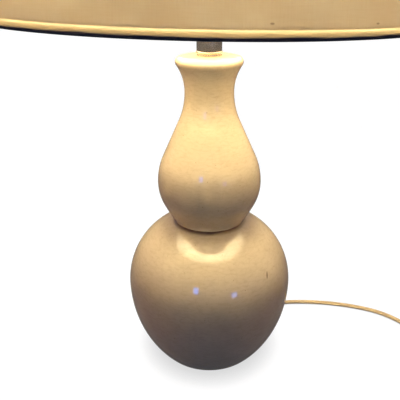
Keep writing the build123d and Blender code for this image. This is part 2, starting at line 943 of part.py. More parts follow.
with BuildPart() as bulb_filament:
    with BuildLine(Plane.XZ) as filament_line:
        FilletPolyline(
            (-stem_radius / 2, filament_foot),
            (-filament_span, filament_foot + filament_rise),
            (filament_span, filament_foot + filament_rise),
            (stem_radius / 2, filament_foot),
            radius=filament_bend,
        )
    with BuildSketch(
        Plane(origin=filament_line.line @ 0, z_dir=filament_line.line % 0)
    ):
        Circle(filament_radius)
    sweep()
bulb_filament.part.label = "bulb_filament"
export_step(bulb_filament.part, "parts/bulb_filament.step")

# ---------------------------------------------------------------- lead inside the lamp

with BuildPart() as cord_bushing:
    with BuildSketch(outlet_side):
        with BuildLine():
            Polyline(
                (bushing_inner, cord_radius + bushing_wire_gap),
                (bushing_inner, bushing_radius),
                (bushing_shoulder, bushing_radius),
                (bushing_shoulder, bushing_head_radius),
                (bushing_shoulder + bushing_head_length, bushing_head_radius),
                (bushing_shoulder + bushing_head_length, bushing_radius),
                (bushing_end, bushing_nose_radius),
                (bushing_end, cord_radius + bushing_wire_gap),
                close=True,
            )
        make_face()
    revolve(axis=outlet_axis)
cord_bushing.part.label = "cord_bushing"
export_step(cord_bushing.part, "parts/cord_bushing.step")

bushing_mouth = (
    bushing_end * outlet_direction[0],
    bushing_end * outlet_direction[1],
    outlet_level,
)
cord_top = core_under - pipe_below_nut

with BuildPart() as cord_inner:
    with BuildLine() as inner_line:
        FilletPolyline(
            (0, 0, cord_top), (0, 0, outlet_level), bushing_mouth, radius=inner_bend
        )
    with BuildSketch(Plane(origin=inner_line.line @ 0, z_dir=inner_line.line % 0)):
        Circle(cord_radius)
    sweep()
cord_inner.part.label = "cord_inner"
export_step(cord_inner.part, "parts/cord_inner.step")

# ---------------------------------------------------------------- coil of the put-away lead

layer_one = cord_radius + table_gap
coil_pitch = cord_width + coil_gap
layer_two = layer_one + coil_pitch
coil_turns = coil_turns_in + coil_turns_climb + coil_turns_out


def coil_point(turn):
    """The coil's middle line: in along the table, up a layer, and out on top."""
    if turn <= coil_turns_in:
        radius = coil_outer - coil_pitch * turn
        level = layer_one
    elif turn < coil_turns_in + coil_turns_climb:
        part = turn - coil_turns_in
        share = part / coil_turns_climb
        radius = coil_outer - coil_pitch * (coil_turns_in + part * (1 - share))
        level = layer_one + coil_pitch * share**2 * (3 - 2 * share)
    else:
        back = turn - coil_turns_in - coil_turns_climb
        radius = coil_outer - coil_pitch * (coil_turns_in - back)
        level = layer_two
    angle = radians(coil_start_degrees) + 2 * pi * turn
    return Vector(
        coil_centre[0] + radius * cos(angle),
        coil_centre[1] + radius * sin(angle),
        level,
    )


def coil_heading(turn):
    """The direction of the coil's middle line."""
    step = 0.0005
    return (coil_point(turn + step) - coil_point(turn - step)).normalized()


def biarc_joint(start, start_heading, end, end_heading):
    """Where two arcs meet that leave the start and reach the end along the headings."""
    chord = end - start
    both = start_heading + end_heading
    spread = 2 * (1 - start_heading.dot(end_heading))
    along = chord.dot(both)
    reach = (sqrt(along**2 + spread * chord.dot(chord)) - along) / spread
    first = start + start_heading * reach
    second = end - end_heading * reach
    return (first + second) / 2, (second - first).normalized()


coil_steps = round(coil_turns * arcs_per_turn * 2)
coil_stations = [coil_turns * step / coil_steps for step in range(coil_steps + 1)]
coil_begin = coil_point(0) - coil_heading(0) * cord_width
coil_end = coil_point(coil_turns) + coil_heading(coil_turns) * cord_width

with BuildPart() as cord_coil:
    with BuildLine() as coil_line:
        Line(coil_begin, coil_point(0))
        for first, second in zip(coil_stations, coil_stations[1:]):
            joint, joint_heading = biarc_joint(
                coil_point(first),
                coil_heading(first),
                coil_point(second),
                coil_heading(second),
            )
            TangentArc(coil_point(first), joint, tangent=coil_heading(first))
            TangentArc(joint, coil_point(second), tangent=joint_heading)
        Line(coil_point(coil_turns), coil_end)
    with BuildSketch(Plane(origin=coil_begin, z_dir=coil_heading(0))):
        Circle(cord_radius)
    sweep(path=coil_line.wires()[0])
cord_coil.part.label = "cord_coil"
export_step(cord_coil.part, "parts/cord_coil.step")

# ---------------------------------------------------------------- free stretches of the lead

lead_ahead = 21.0
lead_points = [
    Vector(*bushing_mouth),
    Vector(*bushing_mouth) + Vector(*outlet_direction) * 9.0,
    Vector(88.5, 61.8, 5.4),
    Vector(100.5, 67.6, layer_one),
    Vector(117.5, 70.4, layer_one),
    Vector(147.0, 70.0, layer_one),
    Vector(179.0, 66.0, layer_one),
    Vector(210.0, 58.0, layer_one),
    Vector(236.0, 47.0, layer_one),
    Vector(254.0, 32.0, layer_one),
    coil_begin - coil_heading(0) * lead_ahead,
    coil_begin,
]
plug_middle = plug_height / 2 + table_gap
tail_points = [
    coil_end,
    coil_end + coil_heading(coil_turns) * 12.0,
    Vector(371.4, 63.0, 8.4),
    Vector(372.0, 76.0, plug_middle),
    Vector(371.9, 87.0, plug_middle),
]
arc_share = 0.45


def route_radii(points):
    """The largest arcs that a route's runs allow, one for each corner."""
    radii = []
    for before, corner, after in zip(points, points[1:], points[2:]):
        shorter = min((corner - before).length, (after - corner).length)
        turn = radians((corner - before).get_angle(after - corner))
        radii.append(arc_share * shorter * (1 + cos(turn)) / sin(turn))
    return radii


def make_stretch(points):
    """A tube of straight runs and tangent arcs along a free stretch of the lead."""
    with BuildPart() as stretch:
        with BuildLine() as route:
            FilletPolyline(*points, radius=route_radii(points))
        with BuildSketch(Plane(origin=route.line @ 0, z_dir=route.line % 0)):
            Circle(cord_radius)
        sweep()
    return stretch, route.line


cord_lead, lead_line = make_stretch(lead_points)
cord_lead.part.label = "cord_lead"
export_step(cord_lead.part, "parts/cord_lead.step")

cord_tail, tail_line = make_stretch(tail_points)
cord_tail.part.label = "cord_tail"
export_step(cord_tail.part, "parts/cord_tail.step")

# ---------------------------------------------------------------- plug

plug_heading = (tail_points[-1] - tail_points[-2]).normalized()
plug_plane = Plane(
    origin=tail_points[-1], x_dir=(plug_heading.Y, -plug_heading.X, 0), z_dir=plug_heading
)
plug_face = plug_nose_length + plug_length

with BuildPart() as plug_body:
    with BuildSketch(plug_plane):
        RectangleRounded(plug_nose_width, plug_nose_height, plug_nose_corner)
    with BuildSketch(plug_plane.offset(plug_nose_length)):
        RectangleRounded(plug_width, plug_height, plug_corner)
    loft()
    with BuildSketch(plug_plane.offset(plug_nose_length)):
        RectangleRounded(plug_width, plug_height, plug_corner)
    extrude(amount=plug_length)
    with BuildSketch(plug_plane.offset(plug_face - blade_root)):
        for side, height in zip((-1, 1), blade_heights):
            with Locations((side * blade_spacing / 2, 0)):
                Rectangle(blade_thickness, height)
    extrude(amount=blade_root, mode=Mode.SUBTRACT)
plug_body.part.label = "plug_body"
export_step(plug_body.part, "parts/plug_body.step")

with BuildPart() as plug_blades:
    with BuildSketch(plug_plane.offset(plug_face - blade_root)):
        for side, height in zip((-1, 1), blade_heights):
            with Locations((side * blade_spacing / 2, 0)):
                Rectangle(blade_thickness, height)
    extrude(amount=blade_root + blade_length)
    blade_side = Plane(
        origin=plug_plane.from_local_coords((0, 0, plug_face + blade_length)),
        x_dir=plug_heading,
        z_dir=plug_plane.x_dir,
    )
    with BuildSketch(blade_side):
        with Locations((-blade_hole_back, 0)):
            Circle(blade_hole_radius)
    extrude(amount=blade_spacing, both=True, mode=Mode.SUBTRACT)
plug_blades.part.label = "plug_blades"
export_step(plug_blades.part, "parts/plug_blades.step")

# ---------------------------------------------------------------- what the lead measures


def least_coil_gap():
    """The least space between the coil's turns, measured on points of its middle line."""
    per_turn = 180
    count = int(coil_turns * per_turn)
    points = [coil_point(turn / per_turn) for turn in range(count + 1)]
    least = coil_outer
    for here, point in enumerate(points):
        for other in points[here + per_turn // 2 :]:
            least = min(least, (point - other).length)
    return least - cord_width


def route_length(line):
    """The length of a route's middle line."""
    return sum(edge.length for edge in line.edges())


print("lead arc radii", [round(r) for r in route_radii(lead_points)])
print("tail arc radii", [round(r) for r in route_radii(tail_points)])
print("inner bend", inner_bend)
for name, piece, length in (
    ("lead", cord_lead, route_length(lead_line)),
    ("coil", cord_coil, route_length(coil_line.line)),
    ("tail", cord_tail, route_length(tail_line)),
):
    section = pi * cord_radius**2
    ratio = piece.part.volume / (section * length)
    print(name, "length", round(length, 1), "volume over section x length", ratio)
print("least gap of the coil to itself", round(least_coil_gap(), 3))
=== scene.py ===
"""A glazed double gourd table lamp with a cloth shade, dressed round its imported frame."""

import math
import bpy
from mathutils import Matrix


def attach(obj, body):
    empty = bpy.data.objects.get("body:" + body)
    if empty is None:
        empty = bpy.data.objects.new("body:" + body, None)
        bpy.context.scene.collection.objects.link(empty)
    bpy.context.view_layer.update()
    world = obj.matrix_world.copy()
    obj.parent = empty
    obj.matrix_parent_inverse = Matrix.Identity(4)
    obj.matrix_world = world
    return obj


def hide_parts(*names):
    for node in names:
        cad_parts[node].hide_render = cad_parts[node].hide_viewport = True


bl_info = {
    "name": "Double Gourd Table Lamp",
    "version": (1, 0, 0),
    "blender": (4, 5, 0),
    "location": "3D View > Sidebar > Lamp",
    "description": "Builds a glazed double gourd table lamp with its shade, lead and stage",
    "category": "Add Mesh",
}

import bmesh
import bpy
from bpy.props import FloatProperty, FloatVectorProperty, IntProperty, PointerProperty
from mathutils import Matrix, Vector

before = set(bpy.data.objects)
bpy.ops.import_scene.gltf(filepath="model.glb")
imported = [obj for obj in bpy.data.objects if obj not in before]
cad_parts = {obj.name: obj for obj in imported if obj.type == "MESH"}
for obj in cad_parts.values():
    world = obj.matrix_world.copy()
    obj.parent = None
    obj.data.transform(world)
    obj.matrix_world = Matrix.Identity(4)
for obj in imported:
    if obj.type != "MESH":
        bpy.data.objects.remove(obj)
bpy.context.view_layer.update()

MM = 0.001
SADDLE_TOP = 389.5  # in millimetres, as all outlines are
LEAN = math.radians(1.02)  # the harp and shade stand a little crooked, right side low
HARP_PLACE = Matrix.Translation((0, 0, SADDLE_TOP * MM)) @ Matrix.Rotation(LEAN, 4, "Y")
UPRIGHT = Matrix.Identity(4)
OUTLET = math.radians(35.0)  # the lead's outlet, from the right towards the back
OUTLET_LEVEL = 9.5
PLUG_TURN = math.radians(0.52)  # the plug lies in line with the end of the lead


def linear(hex_code):
    """A colour written as sRGB hex, as the linear numbers that shaders take."""
    shares = [int(hex_code[i : i + 2], 16) / 255 for i in (1, 3, 5)]
    tones = [s / 12.92 if s <= 0.04045 else ((s + 0.055) / 1.055) ** 2.4 for s in shares]
    return (*tones, 1.0)


def colour_property(name, description, hex_code):
    """A colour that a user may change, with the real finish as its default."""
    return FloatVectorProperty(
        name=name,
        description=description,
        subtype="COLOR",
        size=4,
        min=0.0,
        max=1.0,
        default=linear(hex_code),
    )


def size_property(name, description, metres):
    """A length that a user may change."""
    return FloatProperty(
        name=name, description=description, default=metres, min=0.0, unit="LENGTH"
    )


# ---------------- settings


class GlazeSettings(bpy.types.PropertyGroup):
    """The gourd's glaze"""

    body: colour_property("Glaze", "Main colour of the glaze", "#D6C3A0")
    # The pooled colour also paints the shade on the lip's top.
    pooled_and_lip_shade: colour_property("Pooled glaze", "Where the glaze lies thicker", "#BFA987")
    # The crackle colour also paints the shade in the gourd's crease.
    crackle_and_crease_shade: colour_property("Crackle", "Stain in the crackle and pinholes", "#8A6B4C")
    flaw: colour_property("Flaw", "Stain in the one firing crack", "#4E331C")
    clay: colour_property("Clay", "Bare clay round the wiped foot", "#9C7B5C")
    crackle_cell: size_property("Crackle cell", "Size of one crackle cell", 0.009)
    around: IntProperty(
        name="Faces around", description="Faces round the gourd", default=160, min=24
    )


class MetalSettings(bpy.types.PropertyGroup):
    """The metal pieces"""

    nickel: colour_property("Nickel", "Aged brushed nickel", "#DACAB3")
    nickel_worn: colour_property("Worn nickel", "Nickel browned by age", "#A08A72")
    brass: colour_property("Brass", "Rolled brass", "#C9A45C")
    zinc: colour_property("Zinc", "Zinc-plated steel", "#A9ABAD")


class ClothSettings(bpy.types.PropertyGroup):
    """The shade's cloth"""

    linen: colour_property("Linen", "Colour of the shade's linen", "#EBE5D9")
    # The slub colour also paints the shade of the cloth's overlap at the back.
    slub_and_seam_shade: colour_property("Slub", "Colour of its thicker threads", "#D2C0A2")
    straw: colour_property("Straw", "Colour of the flecks in the linen", "#6E5335")
    tape: colour_property("Hem", "Colour of the folded hem", "#E8E1D2")
    # The hem edge's dark bluish colour is painted shade where the hem rolls under.
    hem_edge_shade: colour_property("Hem edge", "Colour of the hem's rolled edge", "#5F647E")
    thread: size_property("Thread spacing", "Spacing of the linen's threads", 0.0009)
    around: IntProperty(
        name="Faces around", description="Faces round the shade", default=180, min=24
    )


class LeadSettings(bpy.types.PropertyGroup):
    """The mains lead"""

    sleeve: colour_property("Sleeve", "Clear gold sleeve over copper", "#D8C194")
    strand: colour_property("Strand", "Stranded copper seen through it", "#A98355")
    plug: colour_property("Plug", "Moulded plug", "#C9AE7C")
    width: size_property("Width", "Width of the flat twin lead", 0.0066)
    thickness: size_property("Thickness", "Thickness of the flat twin lead", 0.0033)
    length: size_property("Length", "Length from the strain relief to the plug", 1.784)


class StageSettings(bpy.types.PropertyGroup):
    """The camera and the lights"""

    camera_back: size_property("Camera back", "Camera's distance in front", 0.5)
    camera_height: size_property("Camera height", "Camera's height", 0.429)
    camera_pitch: FloatProperty(
        name="Camera tilt",
        description="How far the camera looks down",
        default=math.radians(25.0),
        subtype="ANGLE",
    )
    lens: FloatProperty(
        name="Lens", description="Focal length on a 36 mm sensor", default=43.65
    )
    bulb_power: FloatProperty(
        name="Bulb light", description="Light of the bulb", default=10.0, unit="POWER"
    )
    bulb_tint: colour_property("Bulb tint", "Warm tint of the bulb's light", "#FFF0C8")
    room: FloatProperty(
        name="Room light", description="Light of the room on the lamp", default=0.15
    )
    room_tint: colour_property("Room tint", "Tint of the room's light", "#D6CAFF")


# ---------------- nodes and pieces


def add_node(tree, kind, inputs=None, **settings):
    """Adds a node with its settings and links.

    Its kind is given without the ShaderNode that every kind starts with. An input is
    named, or numbered among those in use where their names repeat. It takes a value,
    an output, or a node, which stands for its first output in use.
    """
    made = tree.nodes.new("ShaderNode" + kind)
    for name, value in settings.items():
        setattr(made, name, value)
    sockets = [socket for socket in made.inputs if socket.enabled]
    for name, value in (inputs or {}).items():
        if isinstance(name, int):
            socket = sockets[name]
        else:
            socket = next(s for s in sockets if s.name == name)
        if isinstance(value, bpy.types.Node):
            value = next(output for output in value.outputs if output.enabled)
        if isinstance(value, bpy.types.NodeSocket):
            tree.links.new(value, socket)
        else:
            socket.default_value = value
    return made


def start_material(name):
    """An empty node material and its tree."""
    material = bpy.data.materials.new(name)
    material.use_nodes = True
    material.node_tree.nodes.clear()
    return material, material.node_tree


def draw_outline(bm, start, moves):
    """Draws a section in the X-Z plane, in millimetres.

    A move of two numbers runs to that point. A move of four swings about a centre,
    through an angle in degrees, in a number of steps.
    """
    tip = bm.verts.new((start[0], 0, start[1]))
    for move in moves:
        if len(move) == 2:
            made = bmesh.ops.extrude_vert_indiv(bm, verts=[tip])
            tip = made["verts"][0]
            tip.co = (move[0], 0, move[1])
        else:
            made = bmesh.ops.spin(
                bm,
                geom=[tip],
                cent=(move[0], 0, move[1]),
                axis=(0, -1, 0),
                angle=math.radians(move[2]),
                steps=move[3],
            )
            tip = next(v for v in made["geom_last"] if isinstance(v, bmesh.types.BMVert))


def turned(start, moves, around):
    """A piece turned about the Z axis from its section."""
    bm = bmesh.new()
    draw_outline(bm, start, moves)
    bmesh.ops.remove_doubles(bm, verts=bm.verts[:], dist=0.004)
    bmesh.ops.spin(
        bm,
        geom=bm.verts[:] + bm.edges[:],
        cent=(0, 0, 0),
        axis=(0, 0, 1),
        angle=math.tau,
        steps=around,
        use_merge=True,
    )
    bmesh.ops.remove_doubles(bm, verts=bm.verts[:], dist=0.004)
    on_axis = [e for e in bm.edges if not e.link_faces]
    bmesh.ops.delete(bm, geom=on_axis, context="EDGES")
    bmesh.ops.recalc_face_normals(bm, faces=bm.faces[:])
    return bm


def grow_ring(bm, ring):
    """Extrudes an open ring of edges: its new corners and its new edges."""
    grown = bmesh.ops.extrude_edge_only(bm, edges=ring)["geom"]
    corners = [g for g in grown if isinstance(g, bmesh.types.BMVert)]
    edges = [g for g in grown if isinstance(g, bmesh.types.BMEdge)]
    return corners, [e for e in edges if all(v in corners for v in e.verts)]


def bend_wire(bm, radius, points, bends, sides=16):
    """A stiff round wire along straight runs, each corner bent to its radius."""
    points = [Vector(p) for p in points]
    heading = (points[1] - points[0]).normalized()
    facing = heading.to_track_quat("Z", "Y").to_matrix().to_4x4()
    made = bmesh.ops.create_circle(
        bm, segments=sides, radius=radius, matrix=Matrix.Translation(points[0]) @ facing
    )
    ring = list({e for v in made["verts"] for e in v.link_edges})
    first_ring = ring[:]
    here = points[0]
    for index, corner in enumerate(points[1:]):
        bend, turn, trim = 0.0, 0.0, 0.0
        if index < len(bends):
            onward = (points[index + 2] - corner).normalized()
            bend, turn = bends[index], heading.angle(onward)
            trim = bend * math.tan(turn / 2)
        run = corner - heading * trim - here
        verts, ring = grow_ring(bm, ring)
        bmesh.ops.translate(bm, verts=verts, vec=run)
        here = here + run
        if index < len(bends):
            inward = (onward - heading * heading.dot(onward)).normalized()
            made = bmesh.ops.spin(
                bm,
                geom=verts + ring,
                cent=here + inward * bend,
                axis=heading.cross(onward).normalized(),
                angle=turn,
                steps=max(3, round(math.degrees(turn) / 7)),
            )
            last = made["geom_last"]
            ring = [g for g in last if isinstance(g, bmesh.types.BMEdge)]
            here = corner + onward * trim
            heading = onward
    bmesh.ops.edgeloop_fill(bm, edges=ring)
    bmesh.ops.edgeloop_fill(bm, edges=first_ring)
    bmesh.ops.remove_doubles(bm, verts=bm.verts[:], dist=0.002)
    bmesh.ops.recalc_face_normals(bm, faces=bm.faces[:])


def add_piece(name, bm, finish, body, node, place=UPRIGHT, sharp=40.0):
    """Makes a drawn mesh a piece of the lamp: in place, smooth, finished, on its body.

    It stands for one CAD node, which it hides.
    """
    bmesh.ops.transform(
        bm, matrix=place @ Matrix.Diagonal((MM, MM, MM, 1.0)), verts=bm.verts[:]
    )
    mesh = bpy.data.meshes.new(name)
    bm.to_mesh(mesh)
    bm.free()
    mesh.shade_smooth()
    mesh.set_sharp_from_angle(angle=math.radians(sharp))
    mesh.materials.append(finishes()[finish])
    piece = bpy.data.objects.new(name, mesh)
    bpy.context.scene.collection.objects.link(piece)
    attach(piece, body)
    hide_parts(node)
    return piece


def dress(finish, *nodes):
    """Gives CAD nodes whose shape is right their real finish."""
    for name in nodes:
        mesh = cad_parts[name].data
        mesh.materials.clear()
        mesh.materials.append(finishes()[finish])


# ---------------- finishes

# Levels on the gourd and places round the cloth, in metres.
WIPED = (0.0032, 0.0042)  # the foot is bare clay up to this soft edge
CREASE_SHADE_LEVEL = 0.1752  # the middle of the crease between the gourd's two halves, darkened round it as painted shade
LIP_SHADE = (0.346, 0.353)  # from the first level to the second the lip's top turns darker, as painted shade
OVERLAP_SHADE = (0.6375, 0.638)  # half way round is 0.644, so 12 mm of painted shade at the back stands for the cloth's overlap
NOISE_SPAN = (0.3, 0.7)  # most of a noise's values lie between these
RANGE = ("From Min", "From Max", "To Min", "To Max")


def lay_over(tree, colour, layers):
    """Lays colours over a first one, each as strongly as its mask says.

    A layer is a mask and a colour. Four numbers between them make the mask from
    another value: the range that it is read over, and the shares at its two ends.
    """
    for mask, *span, over in layers:
        if span:
            mask = add_node(tree, "MapRange", {"Value": mask, **dict(zip(RANGE, span))})
        inputs = {"Factor": mask, "A": colour, "B": over}
        colour = add_node(tree, "Mix", inputs, data_type="RGBA")
    return colour


def end_with_grain(tree, grain, roughness, depth, inputs):
    """Ends a material with a surface whose polish and light bump follow a grain."""
    span = dict(zip(RANGE, (*NOISE_SPAN, *roughness)))
    inputs = {**inputs, "Roughness": add_node(tree, "MapRange", {"Value": grain, **span})}
    if depth:
        inputs["Normal"] = add_node(tree, "Bump", {"Height": grain, "Distance": depth})
    shader = add_node(tree, "BsdfPrincipled", inputs)
    add_node(tree, "OutputMaterial", {"Surface": shader})


def end_lit_through(tree, colour, share, cover, glow):
    """Ends a sheet's material, each face of which lets a share of the light through."""
    cover = add_node(tree, "BsdfPrincipled", {"Base Color": colour, **cover})
    glow = add_node(tree, "BsdfTranslucent", {"Color": colour, **glow})
    both = add_node(tree, "MixShader", {0: share, 1: cover, 2: glow})
    add_node(tree, "OutputMaterial", {"Surface": both})


def glazed_stoneware(glaze):
    """Crackle-glazed stoneware: a glassy cream skin that mirrors the shade crisply.

    It has a faint stained net of fine cracks, pinholes, thicker glaze in soft patches,
    one short firing crack, and bare clay where the foot was wiped. Painted shade darkens
    the crease between its halves and the top of its lip.
    """
    material, tree = start_material("crackle_glazed_stoneware")
    place = add_node(tree, "TexCoord").outputs["Object"]
    wander = add_node(tree, "TexNoise", {"Vector": place, "Scale": 1 / 0.02, "Detail": 2.0})
    bent = add_node(
        tree,
        "VectorMath",
        {0: wander.outputs["Color"], 1: (0.004, 0.004, 0.004), 2: place},
        operation="MULTIPLY_ADD",
    )
    net = add_node(
        tree,
        "TexVoronoi",
        {"Vector": bent, "Scale": 1 / glaze.crackle_cell},
        feature="DISTANCE_TO_EDGE",
    )
    # Real cracks are about 0.1 mm wide; they are drawn 0.6 mm wide, fading to nothing at
    # their edges, so that they show.
    line = add_node(
        tree, "MapRange", {"Value": net, "From Max": 0.035, "To Min": 0.1, "To Max": 0.0}
    )
    # Real pinholes are under 1 mm; these are up to 1.3 mm across with their soft edges.
    pinholes = add_node(tree, "TexVoronoi", {"Vector": place, "Scale": 1 / 0.011})
    patches = add_node(
        tree, "TexNoise", {"Vector": place, "Scale": 1 / 0.035, "Detail": 4.0}
    )
    # Throwing lines run round the pot, so the glaze mottles in short level streaks.
    around = add_node(tree, "Mapping", {"Vector": place, "Scale": (0.3, 0.3, 1.0)})
    mottle = add_node(
        tree, "TexNoise", {"Vector": around, "Scale": 1 / 0.002, "Detail": 3.0}
    )
    # A short upright firing crack on the right of the belly.
    about_flaw = add_node(
        tree,
        "Mapping",
        {
            "Vector": place,
            "Location": (0.0624, -0.0592, 0.134),
            "Rotation": (math.radians(-37.7), 0.0, 0.0),
            "Scale": (0.0007, 0.03, 0.0047),
        },
        vector_type="TEXTURE",
    )
    flaw_reach = add_node(tree, "VectorMath", {0: about_flaw}, operation="LENGTH")
    level = add_node(tree, "SeparateXYZ", {"Vector": place}).outputs["Z"]
    span = dict(zip(RANGE, (*WIPED, 1.0, 0.0)))
    wiped = add_node(tree, "MapRange", {"Value": level, **span})
    above_crease = add_node(tree, "Math", {0: level, 1: CREASE_SHADE_LEVEL}, operation="SUBTRACT")
    from_crease_shade = add_node(tree, "Math", {0: above_crease}, operation="ABSOLUTE")
    layers = (
        (patches, 0.4, 0.75, 0.0, 0.4, glaze.pooled_and_lip_shade),
        # Painted shade: the lip's top is coloured darker, in the pooled colour.
        (level, *LIP_SHADE, 0.0, 1.0, glaze.pooled_and_lip_shade),
        # Painted shade: a dark band round the crease between the gourd's two halves.
        (from_crease_shade, 0.0012, 0.0028, 0.75, 0.0, glaze.crackle_and_crease_shade),
        (mottle, 0.45, 0.7, 0.0, 0.4, glaze.pooled_and_lip_shade),
        (line, glaze.crackle_and_crease_shade),
        (pinholes, 0.035, 0.06, 0.55, 0.0, glaze.crackle_and_crease_shade),
        (flaw_reach, 0.6, 1.0, 0.9, 0.0, glaze.flaw),
        (wiped, glaze.clay),
    )
    # Slow waves from the dip, orange peel from the firing, and the cracks' own dip.
    waves = add_node(tree, "TexNoise", {"Vector": place, "Scale": 1 / 0.03, "Detail": 1.0})
    normal = add_node(tree, "Bump", {"Height": waves, "Distance": 0.00006})
    peel = add_node(tree, "TexNoise", {"Vector": place, "Scale": 1 / 0.003, "Detail": 1.0})
    for height, depth in ((peel, 0.000006), (line, -0.00001)):
        normal = add_node(
            tree, "Bump", {"Height": height, "Distance": depth, "Normal": normal}
        )
    shader = add_node(
        tree,
        "BsdfPrincipled",
        {
            "Base Color": lay_over(tree, glaze.body, layers),
            "Roughness": add_node(
                tree, "MapRange", {"Value": wiped, "To Min": 0.03, "To Max": 0.75}
            ),
            "IOR": 1.6,
            "Specular IOR Level": 1.0,
            "Normal": normal,
        },
    )
    add_node(tree, "OutputMaterial", {"Surface": shader})
    return material


def metal(name, colour, worn_colour, roughness, stretch, patch):
    """A metal with fine marks stretched along its working, duller in soft patches."""
    material, tree = start_material(name)
    place = add_node(tree, "TexCoord").outputs["Object"]
    along = add_node(tree, "Mapping", {"Vector": place, "Scale": stretch})
    grain = 0.0004  # real marks are under 0.1 mm; they are drawn coarser so that they show
    marks = add_node(tree, "TexNoise", {"Vector": along, "Scale": 1 / grain, "Detail": 3.0})
    dull = add_node(tree, "TexNoise", {"Vector": place, "Scale": 1 / patch, "Detail": 3.0})
    mixed = lay_over(tree, colour, [(dull, 0.35, 0.75, 0.0, 0.7, worn_colour)])
    inputs = {"Base Color": mixed, "Metallic": 1.0}
    end_with_grain(tree, marks, roughness, grain / 250, inputs)
    return material


def moulded(name, colour, second, cell, roughness, depth, **inputs):
    """A moulded or painted surface: two close shades in fine grain, with a light bump."""
    material, tree = start_material(name)
    place = add_node(tree, "TexCoord").outputs["Object"]
    grain = add_node(tree, "TexNoise", {"Vector": place, "Scale": 1 / cell, "Detail": 4.0})
    inputs["Base Color"] = lay_over(tree, colour, [(grain, second)])
    end_with_grain(tree, grain, (roughness - 0.05, roughness + 0.05), depth, inputs)
    return material


def glass(name, hex_code, roughness, inputs):
    """Smooth blown or drawn glass under a thin uneven haze."""
    material, tree = start_material(name)
    place = add_node(tree, "TexCoord").outputs["Object"]
    haze = add_node(tree, "TexNoise", {"Vector": place, "Scale": 1 / 0.01})
    inputs = {"Base Color": linear(hex_code), "IOR": 1.5, **inputs}
    end_with_grain(tree, haze, roughness, None, inputs)
    return material


def laminated_linen(cloth):
    """Linen laminated to styrene: crossing threads, a few thick slubs, and dark flecks
    of straw, all softly lit through by the bulb."""
    material, tree = start_material("laminated_linen")
    laid = add_node(tree, "UVMap", uv_map="cloth")
    threads = []
    for stretch in ((0.06, 1.0, 1.0), (1.0, 0.06, 1.0)):
        run = add_node(tree, "Mapping", {"Vector": laid, "Scale": stretch})
        inputs = {"Vector": run, "Scale": 1 / cloth.thread, "Detail": 2.0}
        threads.append(add_node(tree, "TexNoise", inputs))
    weave = add_node(tree, "Math", {0: threads[0], 1: threads[1]}, operation="ADD")
    clouds = add_node(tree, "TexNoise", {"Vector": laid, "Scale": 1 / 0.03, "Detail": 3.0})
    # Real flecks of straw are about 1 mm long; these are up to 3 mm long and 1.5 mm
    # high with their soft edges, so that they show.
    straw_run = add_node(tree, "Mapping", {"Vector": laid, "Scale": (0.5, 1.0, 1.0)})
    straw = add_node(tree, "TexVoronoi", {"Vector": straw_run, "Scale": 1 / 0.0085})
    # The cloth overlaps at the back; a darker strip there is painted shade, for the double
    # cloth letting less light through.
    along = add_node(tree, "SeparateXYZ", {"Vector": laid}).outputs["X"]
    from_front = add_node(tree, "Math", {0: along}, operation="ABSOLUTE")
    layers = (
        (from_front, *OVERLAP_SHADE, 0.0, 0.55, cloth.slub_and_seam_shade),
        (weave, 0.85, 1.3, 0.0, 0.15, cloth.slub_and_seam_shade),
        (clouds, 0.35, 0.7, 0.0, 0.25, cloth.slub_and_seam_shade),
        (straw, 0.05, 0.09, 0.5, 0.0, cloth.straw),
    )
    colour = lay_over(tree, cloth.linen, layers)
    bumps = {"Normal": add_node(tree, "Bump", {"Height": weave, "Distance": 0.00006})}
    end_lit_through(tree, colour, 0.66, {"Roughness": 0.85, **bumps}, bumps)
    return material


def styrene_liner():
    """White styrene sheet that backs the linen: matt, and it scatters the bulb's light."""
    material, tree = start_material("white_styrene_liner")
    laid = add_node(tree, "UVMap", uv_map="cloth")
    grain = add_node(tree, "TexNoise", {"Vector": laid, "Scale": 1 / 0.004, "Detail": 3.0})
    colour = lay_over(tree, linear("#FAF8F3"), [(grain, linear("#F4F0E8"))])
    bumps = {"Normal": add_node(tree, "Bump", {"Height": grain, "Distance": 0.00003})}
    end_lit_through(tree, colour, 0.49, {"Roughness": 0.6, **bumps}, {})
    return material


def folded_tape(cloth):
    """The linen's edge folded over the ring: a fine rib along it, and a dark bluish line of
    painted shade where it rolls under."""
    material, tree = start_material("folded_linen_hem")
    laid = add_node(tree, "UVMap", uv_map="cloth")
    height = add_node(tree, "SeparateXYZ", {"Vector": laid}).outputs["Y"]
    sway = add_node(tree, "TexNoise", {"Vector": laid, "Scale": 1 / 0.03, "Detail": 1.0})
    edge_height = add_node(
        tree, "Math", {0: sway, 1: -0.002, 2: height}, operation="MULTIPLY_ADD"
    )
    run = add_node(tree, "Mapping", {"Vector": laid, "Scale": (0.06, 1.0, 1.0)})
    rib = add_node(tree, "TexNoise", {"Vector": run, "Scale": 1 / 0.0007, "Detail": 2.0})
    layers = (
        (rib, 0.4, 0.7, 0.0, 0.12, cloth.slub_and_seam_shade),
        # Painted shade: a dark bluish line where the hem rolls under its ring.
        (edge_height, 0.0008, 0.0014, 1.0, 0.0, cloth.hem_edge_shade),
    )
    colour = lay_over(tree, cloth.tape, layers)
    bumps = {"Normal": add_node(tree, "Bump", {"Height": rib, "Distance": 0.00002})}
    end_lit_through(tree, colour, 0.82, {"Roughness": 0.9, **bumps}, bumps)
    return material


